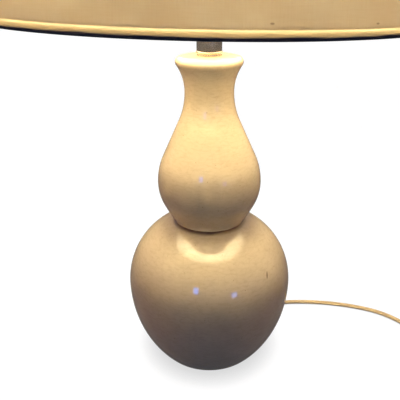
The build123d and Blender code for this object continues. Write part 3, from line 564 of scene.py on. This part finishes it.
def gold_sleeve(lead):
    """Clear gold vinyl over stranded copper: a glossy skin, with the strands faint
    beneath it."""
    material, tree = start_material("clear_gold_vinyl_flex")
    place = add_node(tree, "TexCoord").outputs["Object"]
    # The strands are about 0.2 mm; they are drawn about 1 mm so that they show.
    strands = add_node(
        tree, "TexNoise", {"Vector": place, "Scale": 1 / 0.0012, "Detail": 2.0}
    )
    colour = lay_over(tree, lead.sleeve, [(strands, 0.4, 0.7, 0.0, 0.35, lead.strand)])
    shader = add_node(
        tree,
        "BsdfPrincipled",
        {
            "Base Color": colour,
            "Roughness": 0.25,
            "IOR": 1.52,
            "Coat Weight": 0.6,
            "Coat Roughness": 0.1,
        },
    )
    add_node(tree, "OutputMaterial", {"Surface": shader})
    return material


def finishes():
    """Every finish of the lamp by its slot, made once."""
    if finishes.made:
        return finishes.made
    scene = bpy.context.scene
    metals, cloth, lead = scene.lamp_metals, scene.lamp_cloth, scene.lamp_lead
    finishes.made = {
        "glazed_ceramic": glazed_stoneware(scene.lamp_glaze),
        # Pressed wool felt: matt, with a short fuzzy grain.
        "felt": moulded(
            "pressed_wool_felt", linear("#4A433D"), linear("#2E2926"), 0.0012, 0.9, 2e-4
        ),
        # Zinc plating: cool grey, with rolled marks and dull patches.
        "zinc_steel": metal(
            "zinc_plated_steel",
            metals.zinc,
            linear("#8A8984"),
            (0.3, 0.45),
            (1, 1, 0.2),
            0.006,
        ),
        # Brushed nickel, aged: fine marks round the turned piece, browned in patches.
        "brushed_nickel": metal(
            "aged_brushed_nickel",
            metals.nickel,
            metals.nickel_worn,
            (0.15, 0.25),
            (0.08, 0.08, 1),
            0.012,
        ),
        # Nickel-plated sheet: bright, drawn up from thin brass.
        "nickel_sheet": metal(
            "nickel_plated_sheet",
            linear("#C4B9A9"),
            linear("#9C8F7D"),
            (0.18, 0.28),
            (0.2, 0.2, 1),
            0.015,
        ),
        # Rolled brass: yellow, with brown tarnish in patches.
        "brass": metal(
            "rolled_brass",
            metals.brass,
            linear("#94753F"),
            (0.2, 0.34),
            (0.3, 0.3, 1),
            0.01,
        ),
        # Drawn aluminium of a bulb's cap: soft grey, a little scuffed.
        "bulb_cap": metal(
            "drawn_aluminium",
            linear("#C9CACB"),
            linear("#A3A4A5"),
            (0.25, 0.4),
            (0.2, 0.2, 1),
            0.008,
        ),
        # Drawn tungsten: dark grey, slightly sooty.
        "tungsten": metal(
            "drawn_tungsten",
            linear("#6E6A66"),
            linear("#4B4845"),
            (0.35, 0.5),
            (1, 1, 1),
            0.003,
        ),
        # Ring wire: white enamel over steel, with tiny runs.
        "ring_wire": moulded(
            "enamelled_steel_wire", linear("#D9D5CC"), linear("#C6C0B4"), 0.004, 0.35, 2e-5
        ),
        # Vulcanised card: matt, fibrous grey-brown.
        "card": moulded(
            "vulcanised_card", linear("#8C7A66"), linear("#776653"), 0.002, 0.85, 6e-5
        ),
        # Phenolic: dense dark brown moulding with a low sheen.
        "phenolic": moulded(
            "moulded_phenolic", linear("#2B211C"), linear("#3A2C24"), 0.003, 0.3, 2e-5
        ),
        # Soft white bulb glass: an even white coat inside, glowing warm while it is lit.
        "bulb_glass": glass(
            "soft_white_bulb_glass",
            "#F4EFE6",
            (0.2, 0.3),
            {"Emission Color": linear("#FFEBC8"), "Emission Strength": 2.5},
        ),
        # Clear drawn glass: faintly grey, with a slight haze.
        "clear_glass": glass(
            "clear_drawn_glass", "#F2F5F5", (0.02, 0.06), {"Transmission Weight": 1.0}
        ),
        # Fused black glass between the bulb's cap and its contact.
        "black_glass": moulded(
            "fused_black_glass", linear("#141315"), linear("#1D1B1E"), 0.003, 0.1, 1e-5
        ),
        "linen": laminated_linen(cloth),
        "liner": styrene_liner(),
        "hem_tape": folded_tape(cloth),
        "lead": gold_sleeve(lead),
        # Moulded vinyl plug: smooth, slightly cloudy.
        "plug": moulded(
            "moulded_gold_vinyl",
            lead.plug,
            lead.strand,
            0.006,
            0.35,
            2e-5,
            **{"IOR": 1.52, "Coat Weight": 0.3},
        ),
    }
    return finishes.made


finishes.made = None


# ---------------- lead

# The lead's free route, in metres: out of its strain relief, down to the table, along
# it to the right and out of view. It lies flat, half its thickness up.
LEAD_ROUTE = [
    (0.07209, 0.05047, 0.0095), (0.07946, 0.05564, 0.0095), (0.0885, 0.0618, 0.0045),
    (0.1005, 0.0676, 0.0018), (0.1175, 0.0704, 0.0017), (0.1470, 0.0700, 0.0017),
    (0.1790, 0.0660, 0.0017), (0.2100, 0.0580, 0.0017), (0.2360, 0.0470, 0.0017),
    (0.2540, 0.0320, 0.0017),
]
TAIL_ROUTE = [(0.3714, 0.0630, 0.0060), (0.3720, 0.0760, 0.00655)]
TAIL_END = (0.3719, 0.0870, 0.00655)
COIL_CENTRE = (0.323, 0.030)
COIL_OUTER = 0.049
COIL_PITCH = 0.0073
COIL_START = math.radians(225.0)
TURNS_IN = 3.0
TURNS_CLIMB = 0.5
TURNS_OUT = 2.875
LAYER_ONE = 0.0017
LAYER_TWO = 0.0051
LEAD_IN = (0.0276, 0.0066)  # points before the coil's start, in line with it
LEAD_OUT = (0.0066, 0.0186)  # and after its end
POINTS_PER_TURN = 16


def coil_point(turn):
    """A point of the put-away coil: in along the table, up, and out on top."""
    if turn <= TURNS_IN:
        radius, level = COIL_OUTER - COIL_PITCH * turn, LAYER_ONE
    elif turn < TURNS_IN + TURNS_CLIMB:
        part = turn - TURNS_IN
        share = part / TURNS_CLIMB
        radius = COIL_OUTER - COIL_PITCH * (TURNS_IN + part * (1 - share))
        level = LAYER_ONE + (LAYER_TWO - LAYER_ONE) * share**2 * (3 - 2 * share)
    else:
        back = turn - TURNS_IN - TURNS_CLIMB
        radius, level = COIL_OUTER - COIL_PITCH * (TURNS_IN - back), LAYER_TWO
    angle = COIL_START + math.tau * turn
    return Vector(
        (
            COIL_CENTRE[0] + radius * math.cos(angle),
            COIL_CENTRE[1] + radius * math.sin(angle),
            level,
        )
    )


def lead_route():
    """The whole route's control points: free stretch, coil and tail."""
    turns = TURNS_IN + TURNS_CLIMB + TURNS_OUT
    step = 0.0005
    into = (coil_point(step) - coil_point(0)).normalized()
    away = (coil_point(turns) - coil_point(turns - step)).normalized()
    count = round(turns * POINTS_PER_TURN)
    coil = [coil_point(turns * i / count) for i in range(count + 1)]
    before = [coil[0] - into * distance for distance in LEAD_IN]
    after = [coil[-1] + away * distance for distance in LEAD_OUT]
    free = [Vector(p) for p in LEAD_ROUTE]
    tail = [Vector(p) for p in (*TAIL_ROUTE, TAIL_END)]
    return [*free, *before, *coil, *after, *tail]


def lead_section(settings):
    """The flat twin's section, hidden: two round wires side by side with a groove."""
    curve = bpy.data.curves.new("lead_section", "CURVE")
    curve.dimensions = "2D"
    lobe = settings.thickness / 2
    offset = settings.width / 2 - lobe
    points = []
    # Each wire is round but for the 60 degrees that face the other one.
    for side in (1, -1):
        for step in range(11):
            angle = math.radians(-150 + 30 * step) + (math.pi if side < 0 else 0)
            points.append((side * offset + lobe * math.cos(angle), lobe * math.sin(angle)))
    spline = curve.splines.new("POLY")
    spline.points.add(len(points) - 1)
    for point, (x, y) in zip(spline.points, points):
        point.co = (x, y, 0, 1)
    spline.use_cyclic_u = True
    section = bpy.data.objects.new("lead_section", curve)
    section.hide_render = True
    section.hide_viewport = True
    bpy.context.scene.collection.objects.link(section)
    return section


class LAMP_OT_lead(bpy.types.Operator):
    """Lay the flat twin lead from its strain relief through its coil to the plug"""

    bl_idname = "lamp.make_lead"
    bl_label = "Lead"

    def execute(self, context):
        settings = context.scene.lamp_lead
        curve = bpy.data.curves.new("mains_lead", "CURVE")
        curve.dimensions = "3D"
        curve.twist_mode = "Z_UP"
        curve.bevel_mode = "OBJECT"
        curve.bevel_object = lead_section(settings)
        curve.use_fill_caps = True
        curve.resolution_u = 6
        route = lead_route()
        spline = curve.splines.new("NURBS")
        spline.points.add(len(route) - 1)
        for point, place in zip(spline.points, route):
            point.co = (*place, 1.0)
        spline.order_u = 3
        spline.use_endpoint_u = True
        lead = bpy.data.objects.new("mains_lead", curve)
        context.scene.collection.objects.link(lead)
        curve.materials.append(finishes()["lead"])
        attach(lead, "lamp")
        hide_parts("cord_lead", "cord_coil", "cord_tail")
        return {"FINISHED"}


class LAMP_OT_plug(bpy.types.Operator):
    bl_idname = "lamp.make_plug"
    bl_label = "Plug and strain relief"

    def execute(self, context):
        bm = bmesh.new()
        made = bmesh.ops.create_grid(bm, x_segments=1, y_segments=1, size=1.0)
        bmesh.ops.scale(bm, vec=(4.6, 2.8, 1.0), verts=made["verts"])
        bmesh.ops.delete(bm, geom=bm.faces[:], context="FACES_ONLY")
        ring = bm.edges[:]
        # Ribbed nose, then the body that fingers grip, waisted in its middle.
        sections = [
            (0.6, 10.8, 7.4), (2.0, 11.6, 8.0), (2.5, 10.4, 7.2), (3.4, 10.4, 7.2),
            (3.9, 12.2, 8.5), (5.2, 12.6, 8.8), (5.7, 11.4, 8.0), (6.6, 11.6, 8.2),
            (7.1, 13.8, 9.6), (10.0, 20.2, 12.0), (13.0, 21.9, 12.9), (17.0, 21.4, 12.4),
            (21.0, 20.8, 12.0), (26.0, 21.4, 12.4), (30.5, 21.9, 12.9), (33.4, 21.9, 12.9),
            (34.0, 20.9, 11.9),
        ]
        for along, width, height in sections:
            corners, ring = grow_ring(bm, ring)
            for vert in corners:
                vert.co = (
                    math.copysign(width / 2, vert.co.x),
                    math.copysign(height / 2, vert.co.y),
                    along,
                )
        bmesh.ops.holes_fill(bm, edges=[e for e in bm.edges if e.is_boundary])
        long_edges = [e for e in bm.edges if abs(e.verts[0].co.z - e.verts[1].co.z) > 0.2]
        bmesh.ops.bevel(
            bm,
            geom=long_edges,
            offset=2.6,
            segments=5,
            profile=0.5,
            affect="EDGES",
            material=-1,
        )
        bmesh.ops.recalc_face_normals(bm, faces=bm.faces[:])
        place = (
            Matrix.Translation(TAIL_END)
            @ Matrix.Rotation(PLUG_TURN, 4, "Z")
            @ Matrix.Rotation(-math.pi / 2, 4, "X")
        )
        plug = add_piece("plug_moulding", bm, "plug", "lamp", "plug_body", place)
        dress("brass", "plug_blades")

        relief = turned(
            (3.45, 60.0),
            [
                (5.2, 60.0), (5.2, 74.0), (6.2, 74.0), (6.2, 74.4, 90, 4), (6.6, 76.2),
                (6.2, 76.2, 90, 4), (5.25, 76.6), (4.95, 79.0), (4.4, 79.3), (4.4, 80.1),
                (4.85, 80.4), (4.75, 82.0), (4.25, 82.3), (4.25, 83.1), (4.65, 83.4),
                (4.5, 85.0), (4.05, 85.3), (4.05, 86.1), (4.4, 86.4), (4.3, 88.0),
                (3.45, 88.0), (3.45, 60.0),
            ],
            40,
        )
        place = (
            Matrix.Translation((0, 0, OUTLET_LEVEL * MM))
            @ Matrix.Rotation(OUTLET, 4, "Z")
            @ Matrix.Rotation(math.pi / 2, 4, "Y")
        )
        add_piece(
            "strain_relief", relief, "plug", "lamp", "cord_bushing", place
        )
        dress("lead", "cord_inner")
        return {"FINISHED"}


# ---------------- body of the lamp


class LAMP_OT_gourd(bpy.types.Operator):
    """Turn the double gourd body, hollow, from its foot to its rounded lip"""

    bl_idname = "lamp.make_gourd"
    bl_label = "Gourd body"

    def execute(self, context):
        settings = context.scene.lamp_glaze
        outside = [
            (62.2, 1.5), (62.2, 2.5, 60, 3), (-51.30, 94.5, 39.18, 40),
            (11.90, 94.5, 70.54, 44), (39.95, 173.7), (38.4, 174.6), (37.6, 175.5),
            (38.3, 176.3), (39.8, 176.6), (41.0, 176.9), (41.85, 177.63), (51.33, 196.26),
            (4.5, 220.0, 26.88, 20), (-13.0, 220.0, 24.71, 22), (32.47, 288.65),
            (100.6, 320.0, -24.71, 22), (73.44, 320.0, -33.58, 20),
            (29.0, 349.5, 123.58, 20), (5.35, 355.0),
        ]
        inside = [
            (5.35, 350.0), (29.0, 350.0), (29.42, 349.2), (73.44, 320.0, 33.58, 8),
            (100.6, 320.0, 24.71, 8), (46.05, 247.17), (-13.0, 220.0, -24.71, 8),
            (4.5, 220.0, -26.88, 8), (34.4, 178.0), (34.4, 172.0), (38.2, 169.0),
            (11.90, 94.5, -70.54, 12), (-51.30, 94.5, -26.2, 10), (5.35, 31.8),
            (5.35, 26.8), (72.9, 26.8), (59.8, 9.0), (59.8, 1.5),
        ]
        bm = turned((59.8, 1.5), outside + inside, settings.around)
        add_piece("glazed_gourd", bm, "glazed_ceramic", "lamp", "gourd_body", sharp=50.0)
        return {"FINISHED"}


class LAMP_OT_foot(bpy.types.Operator):
    """Cut the felt pad under the foot and finish the fasteners inside it"""

    bl_idname = "lamp.make_foot"
    bl_label = "Felt foot and fasteners"

    def execute(self, context):
        felt = turned(
            (0, 0), [(60.9, 0), (61.2, 0.35), (61.2, 1.15), (60.9, 1.5), (0, 1.5)], 120
        )
        add_piece("felt_foot", felt, "felt", "lamp", "felt_pad")
        dress("zinc_steel", "threaded_pipe", "base_nut", "lock_washer", "base_washer")
        return {"FINISHED"}


class LAMP_OT_neck(bpy.types.Operator):
    """Turn the metal neck and the stepped ring it stands on"""

    bl_idname = "lamp.make_neck"
    bl_label = "Neck"

    def execute(self, context):
        ring = turned(
            (4.95, 355.0),
            [
                (12.3, 355.0), (12.3, 355.4, 90, 3), (12.7, 356.9), (12.3, 356.9, 90, 3),
                (11.9, 357.3), (11.9, 358.8, 180.0, 14), (11.2, 360.3), (4.95, 360.3),
                (4.95, 355.0),
            ],
            96,
        )
        add_piece("seating_ring_turned", ring, "brushed_nickel", "lamp", "seating_ring")
        tube = turned(
            (12.0, 360.3),
            [
                (12.8, 360.3), (12.8, 387.5), (12.0, 387.5, 90, 5), (4.95, 388.3),
                (4.95, 387.1), (12.0, 387.1), (12.0, 360.3),
            ],
            96,
        )
        add_piece("neck_sleeve", tube, "brushed_nickel", "lamp", "neck_tube")
        return {"FINISHED"}


class LAMP_OT_socket(bpy.types.Operator):
    """Draw the socket's cap, and finish its shell and what is inside them"""

    bl_idname = "lamp.make_socket"
    bl_label = "Socket and key"

    def execute(self, context):
        cap = turned(
            (4.95, 389.5),
            [
                (9.0, 389.5), (1.53, 403.5, 61.9, 10), (17.4, 409.3), (17.2, 409.5),
                (16.75, 409.5), (16.7, 403.5), (1.53, 403.5, -58.0, 8), (4.95, 390.3),
                (4.95, 389.5),
            ],
            72,
        )
        add_piece("socket_cap_drawn", cap, "nickel_sheet", "lamp", "socket_cap")
        dress("nickel_sheet", "socket_shell")
        dress("card", "socket_liner")
        dress("phenolic", "socket_core", "switch_knob")
        dress("brass", "screw_shell", "centre_contact", "terminal_screws")
        dress("zinc_steel", "switch_shaft")
        return {"FINISHED"}


class LAMP_OT_bulb(bpy.types.Operator):
    """Blow the bulb's glass and finish its cap, stem and filament"""

    bl_idname = "lamp.make_bulb"
    bl_label = "Bulb"

    def execute(self, context):
        blown = turned(
            (11.9, 446.1),
            [
                (11.9, 456.76), (53.9, 456.76, -41.53, 14), (0, 504.5, 131.53, 36),
                (0, 533.9), (0, 504.5, -131.53, 24), (53.9, 456.76, 41.53, 10),
                (11.3, 446.1), (11.9, 446.1),
            ],
            64,
        )
        envelope = add_piece("bulb_envelope", blown, "bulb_glass", "bulb", "bulb_glass")
        envelope.visible_shadow = False  # the bulb's light comes from inside it
        dress("bulb_cap", "bulb_base", "bulb_contact")
        dress("black_glass", "bulb_insulator")
        dress("clear_glass", "bulb_stem")
        dress("tungsten", "bulb_filament")
        return {"FINISHED"}


# ---------------- harp and shade


class LAMP_OT_harp(bpy.types.Operator):
    """Bend the harp's wire, turn its hub and ferrules, and finish the saddle"""

    bl_idname = "lamp.make_harp"
    bl_label = "Harp"

    def execute(self, context):
        half = [(26.0, 1.5), (26.0, 32.0), (58.0, 84.0), (58.0, 170.0), (34.0, 233.2)]
        bends = [26.0, 60.0, 70.0, 24.0]
        points = [(x, 0, z) for x, z in half] + [(-x, 0, z) for x, z in half[::-1]]
        bm = bmesh.new()
        bend_wire(bm, 1.8, points, bends + bends[::-1])
        hub = turned(
            (2.06, 230.0),
            [
                (4.6, 230.0), (4.6, 230.4, 90, 3), (5.0, 236.0), (4.6, 236.0, 90, 3),
                (2.06, 236.4), (2.06, 230.0),
            ],
            40,
        )
        hub_mesh = bpy.data.meshes.new("harp_hub")
        hub.to_mesh(hub_mesh)
        hub.free()
        bm.from_mesh(hub_mesh)
        bpy.data.meshes.remove(hub_mesh)
        add_piece("harp_wire", bm, "brushed_nickel", "harp", "harp", HARP_PLACE)
        for side, name in ((-1, "ferrule_left"), (1, "ferrule_right")):
            sleeve = turned(
                (3.07, 0.6),
                [
                    (3.75, 0.6), (3.97, 0.85), (3.97, 2.2), (3.75, 2.5), (3.97, 2.8),
                    (3.97, 12.9), (3.27, 12.9, 90, 5), (1.87, 13.6), (1.87, 12.6),
                    (3.07, 12.6), (3.07, 0.6),
                ],
                32,
            )
            bmesh.ops.translate(sleeve, verts=sleeve.verts[:], vec=(26.0 * side, 0, 0))
            add_piece(name + "_sleeve", sleeve, "brushed_nickel", name, name, HARP_PLACE)
        dress("brushed_nickel", "harp_saddle", "swivel_stud")
        return {"FINISHED"}


SHADE_BOTTOM_RADIUS = 220.0
SHADE_TOP_RADIUS = 190.0
SHADE_BOTTOM = 5.5
SHADE_HEIGHT = 254.0
SHADE_SLANT = math.hypot(SHADE_BOTTOM_RADIUS - SHADE_TOP_RADIUS, SHADE_HEIGHT)
SHADE_IN = (SHADE_BOTTOM_RADIUS - SHADE_TOP_RADIUS) / SHADE_SLANT
SHADE_UP = SHADE_HEIGHT / SHADE_SLANT


def shade_point(along, inward):
    """A point of the shade's section: up its outside, then inwards."""
    return (
        SHADE_BOTTOM_RADIUS - along * SHADE_IN - inward * SHADE_UP,
        SHADE_BOTTOM + along * SHADE_UP - inward * SHADE_IN,
    )


def shade_point_from_top(down, inward):
    """The same, measured down from the top edge."""
    return shade_point(SHADE_SLANT - down, inward)


def lay_cloth(bm, edge, up):
    """Gives a shade piece its cloth map in metres: round the shade, and from an edge."""
    layer = bm.loops.layers.uv.new("cloth")
    mean = (SHADE_BOTTOM_RADIUS + SHADE_TOP_RADIUS) / 2 * MM
    for face in bm.faces:
        middle = face.calc_center_median()
        facing = math.atan2(middle.x, -middle.y)
        for loop in face.loops:
            spot = loop.vert.co
            angle = math.atan2(spot.x, -spot.y)
            angle += math.tau * round((facing - angle) / math.tau)
            loop[layer].uv = (angle * mean, (spot.z - edge) * up * MM)


# The folded hem's section: how far from the shade's edge, and how far inwards.
HEM = (
    (7.5, 0.0), (1.6, 0.0), (0.85, 0.2), (0.25, 0.8), (0.0, 1.6), (0.0, 3.9), (0.3, 4.8),
    (1.0, 5.35), (1.6, 5.5), (4.2, 5.5), (6.0, 2.0), (6.0, 1.5), (4.0, 2.3), (3.4, 4.6),
    (1.6, 4.9), (0.6, 4.0), (0.6, 1.8), (1.6, 0.5), (7.5, 0.5), (7.5, 0.0),
)


class LAMP_OT_shade(bpy.types.Operator):
    """Roll the linen shade, fold its hems and finish the rings that carry it"""

    bl_idname = "lamp.make_shade"
    bl_label = "Shade"

    def execute(self, context):
        around = context.scene.lamp_cloth.around
        for name, finish, outer, inner in (
            ("linen_shade", "linen", 0.5, 0.9), ("shade_liner", "liner", 0.95, 1.5)
        ):
            sheet = turned(
                shade_point(6.6, outer),
                [
                    shade_point_from_top(6.6, outer),
                    shade_point_from_top(6.6, inner),
                    shade_point(6.6, inner),
                    shade_point(6.6, outer),
                ],
                around,
            )
            lay_cloth(sheet, SHADE_BOTTOM, 1.0)
            add_piece(name, sheet, finish, "shade", "shade_shell", HARP_PLACE)
        for name, place, up, edge in (
            ("bottom", shade_point, 1.0, SHADE_BOTTOM),
            ("top", shade_point_from_top, -1.0, SHADE_BOTTOM + SHADE_HEIGHT),
        ):
            hem = turned(place(*HEM[0]), [place(*spot) for spot in HEM[1:]], around)
            lay_cloth(hem, edge, up)
            add_piece(
                f"folded_{name}_hem",
                hem,
                "hem_tape",
                "shade",
                f"shade_{name}_hem",
                HARP_PLACE,
            )
        dress("ring_wire", "shade_bottom_ring", "shade_spider")
        return {"FINISHED"}


class LAMP_OT_finial(bpy.types.Operator):
    """Turn the ball finial that clamps the shade"""

    bl_idname = "lamp.make_finial"
    bl_label = "Finial"

    def execute(self, context):
        knob = turned(
            (3.2, 239.5),
            [
                (6.0, 239.5), (6.0, 239.9, 90, 3), (6.4, 241.6), (6.1, 242.2), (5.3, 242.6),
                (4.5, 244.0), (4.2, 245.5), (4.5, 247.4), (5.2, 248.6), (5.2, 249.2),
                (4.6, 249.9), (4.3, 250.6), (4.2, 253.7), (0, 260.7, 108.0, 30),
                (2.6, 269.3), (2.6, 269.9), (2.2, 270.7), (1.3, 271.3), (0, 271.5),
                (0, 253.9), (3.2, 253.9), (3.2, 239.5),
            ],
            56,
        )
        add_piece("ball_finial", knob, "brushed_nickel", "finial", "finial", HARP_PLACE)
        return {"FINISHED"}


# ---------------- stage

CAMERA_SHIFT = -0.0233  # the picture is framed a little off the lamp's middle
REFLECTED_WHITE = 0.15  # how strongly reflections and clear glass show the background
FLOOR_LEVEL = -0.0002  # just under the felt, so that the two faces don't fight

# Places and sizes in metres, and light in watts. The bulb's light is spread as wide as
# the lit inside of the shade spreads it.
BULB_CENTRE, BULB_SPREAD = (0.0, 0.0, 0.525), 0.09
WINDOW_TINT, WINDOWS_FACE = (0.14, 0.32, 1.0), (0, 0, 0.2)
WINDOWS = (
    ("window_left", (-0.92, -2.75, 1.0), 3.2, (0.36, 0.5)),
    ("window_right", (1.65, -2.55, 0.5), 2.0, (0.4, 0.4)),
)
WALL_TINT, WALLS_FACE, WALL_SIZE = (1.0, 0.45, 0.25), (0, 0, 0.1), (0.8, 0.5)
WALLS = (((-1.5, 0.25, 0.12), 5.0), ((1.5, 0.25, 0.12), 3.2))


class LAMP_OT_camera(bpy.types.Operator):
    """Stand the camera where the picture was taken"""

    bl_idname = "lamp.place_camera"
    bl_label = "Camera"

    def execute(self, context):
        stage = context.scene.lamp_stage
        data = bpy.data.cameras.new("camera")
        data.lens = stage.lens
        data.sensor_width = 36.0
        data.shift_x = CAMERA_SHIFT
        data.clip_start = 0.01
        camera = bpy.data.objects.new("camera", data)
        camera.location = (0.0, -stage.camera_back, stage.camera_height)
        camera.rotation_euler = (math.pi / 2 - stage.camera_pitch, 0.0, 0.0)
        context.scene.collection.objects.link(camera)
        context.scene.camera = camera
        return {"FINISHED"}


def seen_share(tree):
    """1 for what the camera shows, less for reflections and clear glass, else 0."""
    path = add_node(tree, "LightPath").outputs
    either = add_node(
        tree,
        "Math",
        {0: path["Is Glossy Ray"], 1: path["Is Transmission Ray"]},
        operation="MAXIMUM",
    )
    softer = add_node(tree, "Math", {0: either, 1: REFLECTED_WHITE}, operation="MULTIPLY")
    return add_node(
        tree, "Math", {0: path["Is Camera Ray"], 1: softer}, operation="MAXIMUM"
    )


def pale_floor():
    """Pale sheet: shown as white with the lamp's contact shadow, plain to other light."""
    material, tree = start_material("pale_floor")
    paper = add_node(tree, "BsdfDiffuse", {"Color": (0.06, 0.06, 0.06, 1.0)})
    near = add_node(tree, "AmbientOcclusion", {"Distance": 0.028}, samples=16).outputs["AO"]
    shadow = add_node(
        tree, "MapRange", {"Value": near, "From Min": 0.3, "From Max": 0.9, "To Min": 0.7}
    )
    shown = add_node(tree, "Emission", {"Color": (1.0, 1.0, 1.0, 1.0), "Strength": shadow})
    lit = add_node(tree, "AddShader", {0: paper, 1: shown})
    both = add_node(tree, "MixShader", {0: seen_share(tree), 1: paper, 2: lit})
    add_node(tree, "OutputMaterial", {"Surface": both})
    return material


def add_light(name, kind, place, power, tint, size, target=None):
    """Adds a lamp or a soft panel, the panel turned to its target."""
    data = bpy.data.lights.new(name, kind)
    data.energy = power
    data.color = tint[:3]
    light = bpy.data.objects.new(name, data)
    light.location = place
    if kind == "AREA":
        data.shape = "RECTANGLE"
        data.size, data.size_y = size
        facing = Vector(target) - Vector(place)
        light.rotation_euler = facing.to_track_quat("-Z", "Y").to_euler()
    else:
        data.shadow_soft_size = size
        data.use_soft_falloff = False
    bpy.context.scene.collection.objects.link(light)
    return light


class LAMP_OT_stage(bpy.types.Operator):
    """Lay the pale floor and set the room's light, the windows and the bulb's light"""

    bl_idname = "lamp.set_stage"
    bl_label = "Stage and lights"

    def execute(self, context):
        stage = context.scene.lamp_stage
        bm = bmesh.new()
        bmesh.ops.create_grid(bm, x_segments=8, y_segments=8, size=6.0)
        bmesh.ops.translate(bm, verts=bm.verts[:], vec=(0, 0, FLOOR_LEVEL))
        mesh = bpy.data.meshes.new("floor")
        bm.to_mesh(mesh)
        bm.free()
        mesh.materials.append(pale_floor())
        floor = bpy.data.objects.new("floor", mesh)
        context.scene.collection.objects.link(floor)

        world = bpy.data.worlds.new("room")
        world.use_nodes = True
        tree = world.node_tree
        tree.nodes.clear()
        room = add_node(
            tree, "Background", {"Color": stage.room_tint, "Strength": stage.room}
        )
        white = add_node(tree, "Background", {"Color": (1, 1, 1, 1), "Strength": 1.0})
        both = add_node(tree, "MixShader", {0: seen_share(tree), 1: room, 2: white})
        add_node(tree, "OutputWorld", {"Surface": both})
        context.scene.world = world

        power, tint = stage.bulb_power, stage.bulb_tint
        bulb = add_light("bulb_light", "POINT", BULB_CENTRE, power, tint, BULB_SPREAD)
        bulb.visible_glossy = False  # what the glaze mirrors is the glowing glass itself
        for name, place, power, size in WINDOWS:
            add_light(name, "AREA", place, power, WINDOW_TINT, size, WINDOWS_FACE)
        for place, power in WALLS:
            wall = add_light(
                "warm_wall", "AREA", place, power, WALL_TINT, WALL_SIZE, WALLS_FACE
            )
            wall.visible_glossy = False  # a matt wall, lit by the lamp itself
        return {"FINISHED"}


# ---------------- panel and registration

STEPS = (
    LAMP_OT_camera,
    LAMP_OT_lead,
    LAMP_OT_plug,
    LAMP_OT_gourd,
    LAMP_OT_foot,
    LAMP_OT_neck,
    LAMP_OT_socket,
    LAMP_OT_bulb,
    LAMP_OT_harp,
    LAMP_OT_shade,
    LAMP_OT_finial,
    LAMP_OT_stage,
)


class LAMP_PT_panel(bpy.types.Panel):
    """Lists the lamp's pieces in the order in which they are made"""

    bl_idname = "LAMP_PT_panel"
    bl_label = "Double gourd lamp"
    bl_space_type = "VIEW_3D"
    bl_region_type = "UI"
    bl_category = "Lamp"

    def draw(self, context):
        for step in STEPS:
            self.layout.operator(step.bl_idname)


GROUPS = {
    "lamp_glaze": GlazeSettings,
    "lamp_metals": MetalSettings,
    "lamp_cloth": ClothSettings,
    "lamp_lead": LeadSettings,
    "lamp_stage": StageSettings,
}


def register():
    for name, group in GROUPS.items():
        bpy.utils.register_class(group)
        setattr(bpy.types.Scene, name, PointerProperty(type=group))
    for step in STEPS:
        bpy.utils.register_class(step)
    bpy.utils.register_class(LAMP_PT_panel)


def unregister():
    bpy.utils.unregister_class(LAMP_PT_panel)
    for step in reversed(STEPS):
        bpy.utils.unregister_class(step)
    for name, group in reversed(GROUPS.items()):
        delattr(bpy.types.Scene, name)
        bpy.utils.unregister_class(group)


def main():
    register()
    bpy.context.scene.view_settings.view_transform = "Standard"
    bpy.ops.lamp.place_camera()
    bpy.ops.lamp.make_lead()
    bpy.ops.lamp.make_plug()
    bpy.ops.lamp.make_gourd()
    bpy.ops.lamp.make_foot()
    bpy.ops.lamp.make_neck()
    bpy.ops.lamp.make_socket()
    bpy.ops.lamp.make_bulb()
    bpy.ops.lamp.make_harp()
    bpy.ops.lamp.make_shade()
    bpy.ops.lamp.make_finial()
    bpy.ops.lamp.set_stage()


if __name__ == "__main__":
    main()
